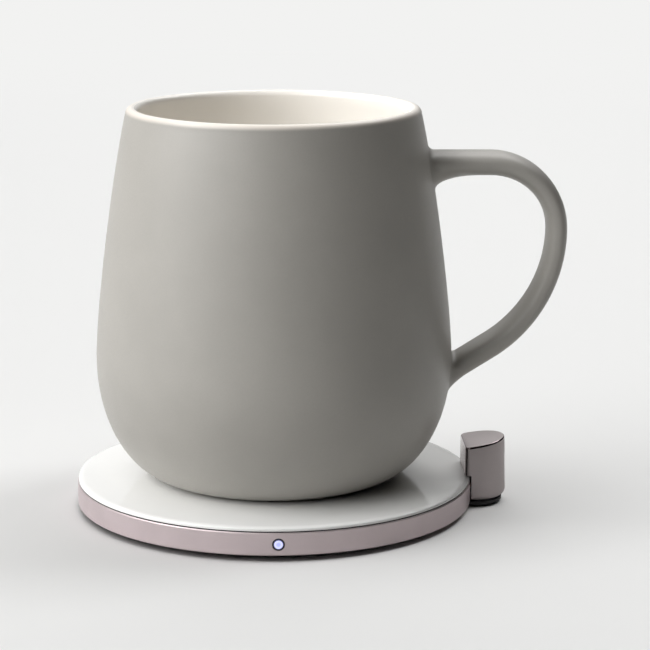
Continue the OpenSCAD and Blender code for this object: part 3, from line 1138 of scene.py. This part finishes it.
    def bends(self) -> Point:
        """Distances along the handle.

        Returns:
            Where the upper arm, the upper bend and the lower bend end.
        """
        first = self.grip_x - self.upper_bend - self.arm_start
        second = first + self.upper_bend * math.pi / 2
        return first, second, second + self.lower_bend * math.radians(self.lower_turn)

    def centreline(self, s: float) -> tuple[Vector, float]:
        """The middle of the handle at a distance along it, from deep in the upper wall.

        Args:
            s: The distance.

        Returns:
            The point and the direction of the handle's outer side, in radians.
        """
        bend_z = self.arm_z - self.upper_bend
        upper_x, lower_x = self.grip_x - self.upper_bend, self.grip_x - self.lower_bend
        first, second, third = self.bends()
        if s <= first:
            return Vector((self.arm_start + s, 0, self.arm_z)), math.pi / 2
        if s <= second:
            a = math.pi / 2 - (s - first) / self.upper_bend
            x, z = upper_x + self.upper_bend * math.cos(a), bend_z + self.upper_bend * math.sin(a)
            return Vector((x, 0, z)), a
        a = -min(s - second, third - second) / self.lower_bend
        point = Vector((lower_x + self.lower_bend * math.cos(a), 0, bend_z + self.lower_bend * math.sin(a)))
        if s > third:
            point += (s - third) * Vector((math.sin(a), 0, -math.cos(a)))
        return point, a

    def strand(self, i: int, s: float) -> tuple[Vector, Vector]:
        """A point of one of the lines that run along the handle.

        Args:
            i: Which line round the section.
            s: Distance along the handle.

        Returns:
            The point, and its direction away from the centreline.
        """
        middle, a = self.centreline(s)
        b = math.tau * i / self.sides
        swell = math.sin(a) ** 2
        half_t = (self.grip_t + self.swell_t * swell) / 2
        half_w = (self.grip_w + self.swell_w * swell) / 2
        power = 2 / self.squareness
        out = math.copysign(abs(math.cos(b)) ** power, math.cos(b)) * half_t
        across = math.copysign(abs(math.sin(b)) ** power, math.sin(b)) * half_w
        normal = Vector((math.cos(a), 0, math.sin(a)))
        offset = normal * out + Vector((0, across, 0))
        return middle + offset, (normal * math.cos(b) + Vector((0, math.sin(b), 0))).normalized()

    def reach(self, root: Root, i: int) -> Pair:
        """Size of the fillet at one line of the handle.

        Args:
            root: Which joint.
            i: Which line round the section.

        Returns:
            Its reach along the arm and its spread on the wall.
        """
        c = math.cos(math.tau * i / self.sides)
        under, over = (max(0.0, share) ** self.flare_power for share in (-c, c))
        fillet = self.fillets[root]
        reach, spread = (side + low * under + high * over
                         for side, low, high in zip(fillet.side, fillet.under, fillet.over))
        return reach, spread

    def along(self, root: Root, i: int, off: float) -> float:
        """Where a line of the handle stands a given distance off the wall.

        Args:
            root: Which joint.
            i: Which line.
            off: The distance off the wall.

        Returns:
            The distance along the handle.
        """
        upper_end, _, lower_start = self.bends()
        if root is Root.UPPER:
            inside, outside = 0.0, upper_end
        else:
            inside, outside = lower_start + self.arm_run, lower_start
        for _ in range(self.halvings):
            middle = (inside + outside) / 2
            if self.off_wall(self.strand(i, middle)[0])[0] < off:
                inside = middle
            else:
                outside = middle
        return (inside + outside) / 2

    def fillet_rings(self, root: Root, common: float, turns: int = 10, runs: int = 9) -> list[list[Vector]]:
        """Rings from the wall out to a plain section of an arm.

        Args:
            root: Which joint.
            common: Distance along the handle of the first plain section.
            turns: Rings on the fillet.
            runs: Rings between the fillet and the plain section.

        Returns:
            The rings, the first lying on the wall.
        """
        rings: list[list[Vector]] = [[] for _ in range(turns + runs)]
        for i in range(self.sides):
            reach, spread = self.reach(root, i)
            for j in range(turns):
                angle = math.pi / 2 * (1 - j / turns)
                off = reach * (1 - math.sin(angle))
                point, away = self.strand(i, self.along(root, i, off))
                _, normal = self.off_wall(point)
                flat = (away - normal * away.dot(normal)).normalized()
                point = point + flat * spread * (1 - math.cos(angle))
                for _ in range(self.settles):
                    stands, normal = self.off_wall(point)
                    point = point + normal * (off - stands)
                rings[j].append(point)
            begin = self.along(root, i, reach)
            for j in range(runs):
                rings[turns + j].append(self.strand(i, begin + (common - begin) * j / runs)[0])
        return rings

    def handle(self) -> tuple[bpy.types.Object, list[list[Vector]]]:
        """Extrudes the handle ring by ring from one joint to the other.

        Returns:
            The open handle, and its rings.
        """
        upper_end, _, lower_start = self.bends()
        first, last = upper_end + self.arm_margins[0], lower_start + self.arm_margins[1]
        count = round((last - first) / self.ring_gap)
        middle = [[self.strand(i, first + (last - first) * k / count)[0] for i in range(self.sides)]
                  for k in range(count + 1)]
        rings = self.fillet_rings(Root.UPPER, first) + middle + self.fillet_rings(Root.LOWER, last)[::-1]
        Bench.clear_selection()
        bpy.ops.mesh.primitive_circle_add(vertices=self.sides, radius=5 * MM, fill_type="NOTHING")
        obj = Bench.name_last("handle")
        mesh = Bench.edit(obj)
        place = mesh.verts.layers.int.new("place")
        mesh.verts.ensure_lookup_table()
        for vert in mesh.verts:
            vert[place] = round(math.atan2(vert.co.y, vert.co.x) / math.tau * self.sides) % self.sides
            vert.co = rings[0][vert[place]] * MM
            vert.select_set(True)
        mesh.select_flush(True)
        bmesh.update_edit_mesh(obj.data)
        for ring in rings[1:]:
            bpy.ops.mesh.extrude_region_move(TRANSFORM_OT_translate={"value": (0, 0, MM)})
            mesh = bmesh.from_edit_mesh(obj.data)
            place = mesh.verts.layers.int["place"]
            for vert in mesh.verts:
                if vert.select:
                    vert.co = ring[vert[place]] * MM
            bmesh.update_edit_mesh(obj.data)
        Bench.mode("OBJECT")
        return obj, rings

    def open_wall(self, wall: bpy.types.Object, ring: list[Vector]) -> None:
        """Deletes the block of wall faces that a joint of the handle covers.

        Args:
            wall: The turned wall, in edit mode.
            ring: The joint's ring on the wall.
        """
        middle = (min(p.z for p in ring) + max(p.z for p in ring)) / 2
        levels = [z for _, z in self.outer]
        best = min(range(len(levels) - self.hole_rows),
                   key=lambda k: abs((levels[k] + levels[k + self.hole_rows]) / 2 - middle))
        low, high = levels[best] * MM, levels[best + self.hole_rows] * MM
        half = math.pi * self.hole_columns / self.steps

        def covered(face: bmesh.types.BMFace) -> bool:
            """Whether a face lies in the block, on the outside.

            Args:
                face: The face.

            Returns:
                True if it does.
            """
            c = face.calc_center_median()
            outside = math.hypot(c.x, c.y) > (self.wall_r(c.z / MM) - self.wall / 2) * MM
            return low < c.z < high and abs(math.atan2(c.y, c.x)) < half and c.x > 0 and outside

        taken, wanted = Bench.select(wall, "FACE", covered), self.hole_columns * self.hole_rows
        if taken != wanted:
            raise ValueError(f"the hole has {taken} faces, not {wanted}")
        bpy.ops.mesh.delete(type="FACE")

    def join(self, wall: bpy.types.Object, handle: bpy.types.Object, middle_z: float) -> None:
        """Joins the handle to the wall and bridges both joints.

        Args:
            wall: The turned wall.
            handle: The open handle.
            middle_z: A height between the two joints.
        """
        Bench.clear_selection()
        handle.select_set(True)
        wall.select_set(True)
        bpy.context.view_layer.objects.active = wall
        bpy.ops.object.join()
        Bench.edit(wall)
        for upper in (True, False):
            Bench.select(wall, "EDGE", lambda e: e.is_boundary
                         and (sum(v.co.z for v in e.verts) / 2 > middle_z * MM) == upper)
            bpy.ops.mesh.bridge_edge_loops()
        Bench.close()

    def mark_glaze(self, obj: bpy.types.Object) -> None:
        """Writes each vertex's distance from the line where the glazes meet, positive outside.

        Args:
            obj: The finished mug, its foot at z = 0.
        """
        start = math.radians(self.glaze_angle)
        centre = self.lip_r - self.lip_round
        values = []
        for vert in obj.data.vertices:
            r, z = math.hypot(vert.co.x, vert.co.y) / MM, vert.co.z / MM
            if z > self.lip_z:
                distance = (start - math.atan2(z - self.lip_z, r - centre)) * self.lip_round
            elif z > self.cup_floor_z - self.floor_margin and r < self.wall_r(z) - self.wall / 2:
                distance = (start - math.pi) * self.lip_round - (self.lip_z - z)
            else:
                distance = start * self.lip_round + (self.lip_z - z)
            values.append(min(self.glaze_reach, max(-self.glaze_reach, distance)))
        attribute = obj.data.attributes.new(self.glaze.attribute, "FLOAT", "POINT")
        attribute.data.foreach_set("value", values)

    def build(self) -> bpy.types.Object:
        """Turns the wall, draws the handle out of it and dresses both.

        Returns:
            The finished mug.
        """
        wall = Bench.lathe(self.name, self.profile(), self.steps)
        handle, rings = self.handle()
        Bench.edit(wall)
        self.open_wall(wall, rings[0])
        self.open_wall(wall, rings[-1])
        self.join(wall, handle, self.arm_z - self.joints_apart)
        self.mark_glaze(wall)
        wall.location.z = self.foot_z * MM
        wall.rotation_euler.z = math.radians(self.handle_turn)
        Bench.finish(wall, 40)
        self.glaze.dress(wall)
        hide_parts("mug_body")
        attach(wall, Body.MUG.value)
        return wall


@dataclass
class PadTop:
    """The glass top of the pad, its upper edge rounded over. Sizes are millimetres."""

    radius: float = 51.8
    low: float = 7.65
    high: float = 8.65
    round_w: float = 1.8
    round_h: float = 0.5
    ease: float = 0.08
    steps: int = 256
    under_rings: int = 3
    edge_rings: int = 12
    top_rings: int = 4
    glass: BackedGlass = field(default_factory=lambda: BackedGlass("white_glass_top"))
    name: str = "glass_disc"

    def profile(self) -> list[Pair]:
        """The disc's section, from the axis underneath round to the axis on top.

        Returns:
            (radius, height) points in millimetres.
        """
        under = [(self.radius * i / self.under_rings, self.low) for i in range(self.under_rings)]
        under += [(self.radius - self.ease, self.low), (self.radius, self.low + self.ease)]
        edge = [(self.radius - self.round_w * (1 - math.cos(a)), self.high - self.round_h * (1 - math.sin(a)))
                for a in (math.pi / 2 * i / self.edge_rings for i in range(self.edge_rings + 1))]
        flat = self.radius - self.round_w
        top = [(flat * (1 - i / self.top_rings), self.high) for i in range(1, self.top_rings + 1)]
        return under + edge + top

    def build(self) -> bpy.types.Object:
        """Turns the disc.

        Returns:
            The finished disc.
        """
        disc = Bench.lathe(self.name, self.profile(), self.steps)
        Bench.finish(disc, 35)
        self.glass.dress(disc)
        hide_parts("top_glass")
        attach(disc, Body.PAD.value)
        return disc


@dataclass
class PowerPost:
    """The metal shell of the power post: a D in plan with a little draft, under a sloped top.

    Sizes are millimetres and angles degrees. The facings are limits of a face's unit normal.
    """

    flat_x: float = 50.0
    centre_x: float = 53.3
    radius: float = 8.0
    corner: float = 1.4
    low: float = 1.9
    top: float = 16.25
    slope: float = 9.0
    draft: float = 1.4
    wall: float = 1.4
    top_wall: float = 1.4
    pad_r: float = 52.3
    over_pad: float = 8.75
    ledge: float = 1.0
    soft: float = 0.5
    soft_steps: int = 4
    foot_round: float = 1.9
    foot_steps: int = 6
    socket: Point = (58.3, 0.0, 9.3)
    socket_size: Pair = (9.28, 3.5)
    socket_depth: float = 9.6
    window: tuple[Point, Point] = ((49.4, -1.83, 3.9), (54.1, 3.77, 5.0))
    blank_h: float = 30.0
    through: float = 1.0
    least_corner: float = 0.3
    round_steps: int = 60
    corner_steps: int = 10
    cutter_steps: int = 384
    slot_steps: int = 64
    edge_reach: float = 1.2
    top_facing: float = 0.93
    level_facing: float = 0.3
    flat_facing: float = -0.97
    corner_facing: Pair = (-0.8, -0.55)
    # The skin is the rim's anodised metal made darker and greyer; the darkening is painted shade for the
    # mug's shadow on the post.
    skin: Anodised = field(default_factory=lambda: Anodised("post_anodised_painted_shade", linear(180, 171, 171)))
    edge: PolishedCut = field(default_factory=lambda: PolishedCut("bright_cut"))
    flat: Anodised = field(default_factory=lambda: Anodised("mauve_satin", rough=0.2))
    # The front corner's faces get a dark metal whatever they reflect: a painted dark reflection line.
    corner_cut: PolishedCut = field(default_factory=lambda: PolishedCut("painted_dark_corner_line", linear(62, 57, 58)))
    name: str = "post_housing"

    @property
    def uphill(self) -> Vector:
        """The unit normal of the sloped top."""
        angle = math.radians(self.slope)
        return Vector((-math.sin(angle), 0, math.cos(angle)))

    def plan(self, inset: float) -> list[Pair]:
        """The outline in plan, about the middle of the round end.

        Args:
            inset: How far it is drawn in.

        Returns:
            (x, y) points, anticlockwise.
        """
        r, c = self.radius - inset, max(self.corner - inset, self.least_corner)
        x = self.flat_x - self.centre_x + inset
        # Each arc has its middle, its radius, the angle it starts at, its turn and its steps.
        arcs = ((0, 0, r, -90, 180, self.round_steps),
                (x + c, r - c, c, 90, 90, self.corner_steps),
                (x + c, c - r, c, 180, 90, self.corner_steps))
        points = []
        for at_x, at_y, size, start, turn, steps in arcs:
            for i in range(steps + 1):
                a = math.radians(start + turn * i / steps)
                points.append((at_x + size * math.cos(a), at_y + size * math.sin(a)))
        return points

    def column(self, name: str, inset: float, low: float, drop: float) -> bpy.types.Object:
        """A solid column with the plan's outline, drafted and cut off by the sloped plane.

        Args:
            name: Name of the new object.
            inset: How far the outline is drawn in.
            low: Height of its foot.
            drop: How far the cutting plane lies under the post's top.

        Returns:
            The column.
        """
        middle, tall = (self.top + self.low) / 2, self.blank_h
        lean = math.tan(math.radians(self.draft))
        base = 1 + (middle - low) * lean / self.radius
        outline = [((self.centre_x + x * base) * MM, y * base * MM, low * MM) for x, y in self.plan(inset)]
        solid = Bench.line(name, outline)
        Bench.edit(solid)
        Bench.take_all()
        bpy.ops.mesh.edge_face_add()
        bpy.ops.mesh.extrude_region_move(TRANSFORM_OT_translate={"value": (0, 0, tall * MM)})
        shrink = (1 + (middle - low - tall) * lean / self.radius) / base
        bpy.ops.transform.resize(value=(shrink, shrink, 1),
                                 center_override=(self.centre_x * MM, 0, (low + tall) * MM))
        Bench.take_all()
        bpy.ops.mesh.bisect(plane_co=(self.flat_x * MM, 0, (self.top - drop) * MM), plane_no=self.uphill,
                            use_fill=True, clear_outer=True)
        Bench.close()
        return solid

    def cylinder(self, radius: float, high: float) -> bpy.types.Object:
        """An upright cutter about the pad's axis, from the table up.

        Args:
            radius: Its radius.
            high: Its height.

        Returns:
            The cutter.
        """
        Bench.clear_selection()
        bpy.ops.mesh.primitive_cylinder_add(vertices=self.cutter_steps, radius=radius * MM, depth=high * MM,
                                            location=(0, 0, high / 2 * MM))
        return Bench.name_last("cutter")

    def block(self, corners: tuple[Point, Point]) -> bpy.types.Object:
        """A box-shaped cutter.

        Args:
            corners: Its lowest and its highest corner.

        Returns:
            The cutter.
        """
        Bench.clear_selection()
        low, high = (Vector(c) * MM for c in corners)
        bpy.ops.mesh.primitive_cube_add(size=1, location=(low + high) / 2, scale=high - low)
        return Bench.name_last("cutter")

    def soften(self, shell: bpy.types.Object) -> None:
        """Rounds the edge of the sloped top and the foot's edge.

        Args:
            shell: The solid column.
        """
        Bench.edit(shell)
        Bench.select(shell, "EDGE", lambda e: all(self.under_top(v.co) < WELD for v in e.verts))
        bpy.ops.mesh.bevel(offset=self.soft * MM, segments=self.soft_steps, profile=0.5, affect="EDGES")
        Bench.select(shell, "EDGE", lambda e: all(v.co.z < self.low * MM + WELD for v in e.verts))
        bpy.ops.mesh.bevel(offset=self.foot_round * MM, segments=self.foot_steps, profile=0.5, affect="EDGES")
        Bench.mode("OBJECT")

    def under_top(self, p: Vector) -> float:
        """How far a point lies from the sloped plane.

        Args:
            p: The point, in metres.

        Returns:
            The distance in metres.
        """
        start = Vector((self.flat_x, 0, self.top)) * MM
        return abs((p - start).dot(self.uphill))

    def finish_of(self, face: bpy.types.MeshPolygon) -> PostFace:
        """Which finish a face of the shell has.

        Args:
            face: The face.

        Returns:
            The finish.
        """
        normal = face.normal
        if self.under_top(face.center) < self.soft * self.edge_reach * MM and normal.z < self.top_facing:
            return PostFace.EDGE
        if face.center.x > (self.flat_x + self.corner) * MM or abs(normal.z) > self.level_facing:
            return PostFace.SKIN
        if normal.x < self.flat_facing:
            return PostFace.FLAT
        # Faces turned between these limits take the painted dark reflection line.
        low, high = self.corner_facing
        return PostFace.CORNER if low < normal.x < high else PostFace.SKIN

    def slot(self) -> bpy.types.Object:
        """The cutter for the socket's mouth: a slot with round ends, standing on edge.

        Returns:
            The cutter.
        """
        Bench.clear_selection()
        length, width = self.socket_size
        bpy.ops.mesh.primitive_cylinder_add(vertices=self.slot_steps, radius=width / 2 * MM,
                                            depth=self.socket_depth * MM, rotation=(0, math.pi / 2, 0),
                                            location=[v * MM for v in self.socket])
        cutter = Bench.name_last("slot")
        bpy.ops.object.transform_apply(location=True, rotation=True)
        Bench.edit(cutter)
        for sign in (1, -1):
            Bench.select(cutter, "VERT", lambda v: (v.co.z - self.socket[2] * MM) * sign > TOUCHING)
            bpy.ops.transform.translate(value=(0, 0, sign * (length - width) / 2 * MM))
        Bench.mode("OBJECT")
        return cutter

    def build(self) -> bpy.types.Object:
        """Cuts the shell from a column and gives each kind of face its finish.

        Returns:
            The finished shell.
        """
        shell = self.column(self.name, 0.0, self.low, 0.0)
        self.soften(shell)
        Bench.cut(shell, self.cylinder(self.pad_r, self.over_pad))
        drop = self.top_wall / math.cos(math.radians(self.slope))
        hollow = self.column("hollow", self.wall, self.low - self.through, drop)
        Bench.cut(hollow, self.cylinder(self.pad_r + self.wall, self.over_pad + self.ledge))
        Bench.cut(shell, hollow)
        Bench.cut(shell, self.slot())
        Bench.cut(shell, self.block(self.window))
        Bench.finish(shell, 32)
        finishes = {PostFace.SKIN: self.skin, PostFace.EDGE: self.edge, PostFace.FLAT: self.flat,
                    PostFace.CORNER: self.corner_cut}
        for kind in PostFace:
            shell.data.materials.append(finishes[kind].material())
        for face in shell.data.polygons:
            face.material_index = self.finish_of(face)
        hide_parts("post_shell")
        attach(shell, Body.PAD.value)
        return shell


@dataclass
class PackedPieces:
    """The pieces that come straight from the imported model, each given its real finish."""

    nodes: dict[str, bpy.types.Object]
    hidden: frozenset[str] = frozenset({"mug_body", "top_glass", "post_shell"})

    def finishes(self) -> dict[str, Finish]:
        """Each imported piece's finish.

        Returns:
            A finish for every node's name.
        """
        board = Laminate("circuit_laminate")
        plastic = Moulded("dark_moulding")
        winding = Winding("copper_winding")
        ferrite = Package("ferrite_sheet", linear(74, 74, 78), 0.15, 0.6)
        screw = Turned("screw_steel")
        silicone = Silicone("dark_silicone")
        chip = Package("chip_package")
        amber = Resin("sensor_resin")
        return {
            "heater_disc": Turned("heater_plate", linear(190, 190, 190), 0.35, (30, 1, 1)),
            "heater_leads": winding, "temperature_sensor": amber,
            "insulation_pad": Fibre("insulation_fibre"), "module_frame": plastic,
            "receiver_board": board, "receiver_chips": chip, "receiver_ferrite": ferrite,
            "receiver_coil": winding, "base_seal": silicone,
            "base_cover": Moulded("pale_moulding", linear(217, 214, 207), 0.45),
            "glass_gasket": Silicone("gasket_foam", linear(22, 22, 24)),
            "rim_ring": Anodised("mauve_anodised"), "indicator_lens": LitPipe("lit_lens"),
            "indicator_collar": Moulded("collar_moulding", linear(18, 18, 24), 0.4),
            "indicator_led": Package("led_package", linear(240, 240, 232), 0.05, 0.35),
            "coil_carrier": plastic, "transmitter_ferrite": ferrite, "transmitter_coil": winding,
            "coil_sensor": amber, "main_board": board, "control_chips": chip,
            "tuning_capacitors": Package("capacitor_ceramic", linear(190, 148, 92), 0.2, 0.4),
            "power_inductors": Package("inductor_shield", linear(86, 87, 92), 0.2, 0.45),
            "carrier_screws": screw, "base_tray": plastic, "base_screws": screw, "foot_pad": silicone,
            "post_core": plastic, "post_board": board,
            "usb_shell": Turned("socket_steel", linear(196, 198, 202), 0.22, (40, 1, 1)),
            "usb_tongue": plastic, "link_flex": Resin("flex_film", linear(196, 124, 40), 900.0),
            "post_screws": screw,
        }

    def dress(self) -> None:
        """Gives each shown node its finish."""
        finishes = self.finishes()
        for name, obj in self.nodes.items():
            if name in self.hidden:
                continue
            finishes[name].dress(obj)
            log.info("%s: %s", name, finishes[name].name)


@dataclass(frozen=True)
class SoftBox:
    """A rectangular lamp that lights the object and the paper each by its own share.

    Sizes are metres and the spread is degrees. With no aim of its own, it faces the object.
    """

    name: str
    place: Point
    size: Pair
    object_watts: float = 0.0
    paper_watts: float = 0.0
    aim: Point | None = None
    spread: float = 180.0


@dataclass(frozen=True)
class Viewpoint:
    """Where the photograph was taken from, fitted to its ellipses.

    The eye and the sight are metres, the angles radians, the lens and the sensor millimetres.
    """

    eye: Point = (-0.01055, -0.60472, 0.18039)
    heading: float = 0.03944
    dip: float = 0.2154
    roll: float = 0.0022
    lens: float = 130.78
    sensor: float = 36.0
    sight: Pair = (0.01, 50.0)


@dataclass
class Set:
    """The studio: seamless paper, soft lamps and the photographer's camera.

    The backdrop shows in gloss and glass, by the share named sheen, where a ray's direction
    along Y passes from the first value of behind to the second. Sizes are metres.
    """

    view: Viewpoint = field(default_factory=Viewpoint)
    centre: Point = (0.005, 0.0, 0.05)
    paper_size: float = 9.0
    paper_y: float = 1.5
    behind: Pair = (0.6, 0.95)
    sheen: float = 0.33
    backdrop: Colour = linear(242, 242, 241)
    paper: Studio = field(default_factory=lambda: Studio("pale_paper"))
    lamps: tuple[SoftBox, ...] = (
        SoftBox("key_left", (-1.0, -0.3, 0.7), (0.9, 1.0), 14.6, 4.9),
        SoftBox("front_left", (-0.8, -0.9, 0.8), (0.8, 0.8), 5.6),
        SoftBox("overhead", (0, 0.01, 1.3), (1.2, 1.2), 0, 8.9),
        SoftBox("top_left", (-0.6, 0.1, 1.2), (0.8, 0.8), 5.0, 2.5),
        SoftBox("top_right", (0.5, 0.5, 1.2), (0.8, 0.8), 4.8, 0.6),
        SoftBox("high_right", (0.75, 0.3, 1.15), (0.5, 0.5), 0, 5.3),
        SoftBox("low_behind", (0.2, 1.6, 0.5), (1.5, 0.6), 0.9, 1.0),
        SoftBox("high_behind", (0, 1.7, 1.6), (2.0, 1.2), 15.4, 0, (0, 1.2, 0)),
        SoftBox("far_paper", (0, 1.9, 1.6), (2.6, 1.4), 0, 12.6, (0, 1.901, 0), 75),
        SoftBox("near_paper", (0, 0.9, 0.8), (1.0, 0.5), 0, 2.3),
    )

    def sweep(self) -> bpy.types.Object:
        """The seamless paper, so wide that the camera sees nothing past it.

        Returns:
            The paper.
        """
        Bench.clear_selection()
        bpy.ops.mesh.primitive_plane_add(size=self.paper_size, location=(0, self.paper_y, 0))
        floor = Bench.name_last("paper_sweep")
        Bench.finish(floor)
        self.paper.dress(floor)
        return floor

    def lamp(self, box: SoftBox, watts: float, takers: bpy.types.Collection) -> bpy.types.Object:
        """One lamp, which faces the object or the place its box names.

        Args:
            box: Where it stands and how large it is.
            watts: Its power.
            takers: What it lights.

        Returns:
            The lamp.
        """
        Bench.clear_selection()
        bpy.ops.object.light_add(type="AREA", location=box.place)
        lamp = bpy.context.object
        lamp.name = f"{box.name}_{takers.name}"
        lamp.data.shape = "RECTANGLE"
        lamp.data.size, lamp.data.size_y = box.size
        lamp.data.energy = watts
        lamp.data.spread = math.radians(box.spread)
        lamp.light_linking.receiver_collection = takers
        direction = Vector(box.aim or self.centre) - Vector(box.place)
        lamp.rotation_euler = direction.to_track_quat("-Z", "Y").to_euler()
        return lamp

    def takers(self, name: str, floor: bpy.types.Object, lit: bool) -> bpy.types.Collection:
        """What one share of the light reaches: the paper alone, or everything but the paper.

        Args:
            name: The collection's name.
            floor: The paper.
            lit: Whether the paper takes the light, or everything else.

        Returns:
            The collection.
        """
        group = bpy.data.collections.new(name)
        group.objects.link(floor)
        group.collection_objects[0].light_linking.link_state = "INCLUDE" if lit else "EXCLUDE"
        return group

    def light(self, floor: bpy.types.Object) -> None:
        """Sets the lamps, each box as up to two of them.

        Args:
            floor: The paper.
        """
        shares = (self.takers("on_object", floor, False), self.takers("on_paper", floor, True))
        for box in self.lamps:
            for watts, takers in zip((box.object_watts, box.paper_watts), shares):
                if watts:
                    self.lamp(box, watts, takers)

    def world(self) -> None:
        """A pale backdrop for the camera, a dim one behind the object for gloss and glass, and no fill."""
        world = bpy.data.worlds.new("studio_backdrop")
        bpy.context.scene.world = world
        world.use_nodes = True
        graph = NodeGraph(world.node_tree)
        rays = graph.add("LightPath").outputs
        way = graph.add("SeparateXYZ", Vector=graph.add("TexCoord").outputs["Generated"]).outputs["Y"]
        behind = graph.span(way, *self.behind, 0.0, self.sheen)
        polished = graph.maths("MAXIMUM", rays["Is Glossy Ray"], rays["Is Transmission Ray"])
        polished = graph.maths("MULTIPLY", polished, behind)
        mix = graph.add("MixShader", Fac=graph.maths("MAXIMUM", rays["Is Camera Ray"], polished))
        dark = graph.add("Background", Color=BLACK, Strength=0.0)
        pale = graph.add("Background", Color=self.backdrop, Strength=1.0)
        for number, background in ((1, dark), (2, pale)):
            graph.put(mix.inputs[number], background.outputs["Background"])
        graph.add("OutputWorld", Surface=mix.outputs["Shader"])

    def camera(self) -> bpy.types.Object:
        """The camera, where the photograph's ellipses put it.

        Returns:
            The camera.
        """
        view = self.view
        east, north = math.sin(view.heading), math.cos(view.heading)
        forward = Vector((east * math.cos(view.dip), north * math.cos(view.dip), -math.sin(view.dip)))
        level = Vector((north, -east, 0))
        upright = level.cross(forward)
        right = level * math.cos(view.roll) + upright * math.sin(view.roll)
        up = upright * math.cos(view.roll) - level * math.sin(view.roll)
        Bench.clear_selection()
        bpy.ops.object.camera_add()
        camera = bpy.context.object
        camera.name = "photographer"
        turn = Matrix((right, up, -forward)).transposed().to_4x4()
        camera.matrix_world = Matrix.Translation(view.eye) @ turn
        camera.data.sensor_fit = "HORIZONTAL"
        camera.data.sensor_width = view.sensor
        camera.data.lens = view.lens
        camera.data.clip_start, camera.data.clip_end = view.sight
        bpy.context.scene.camera = camera
        return camera

    def build(self) -> None:
        """Sets the paper, the lamps, the backdrop and the camera."""
        bpy.context.scene.view_settings.view_transform = "Standard"
        self.light(self.sweep())
        self.world()
        self.camera()


def main() -> None:
    """Builds each sub-assembly round the frame."""
    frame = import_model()
    PackedPieces(frame["nodes"]).dress()
    for part in (MugShell(), PadTop(), PowerPost()):
        piece = part.build()
        log.info("%s stands for its packed solid", piece.name)
    Set().build()


if __name__ == "__main__":
    main()
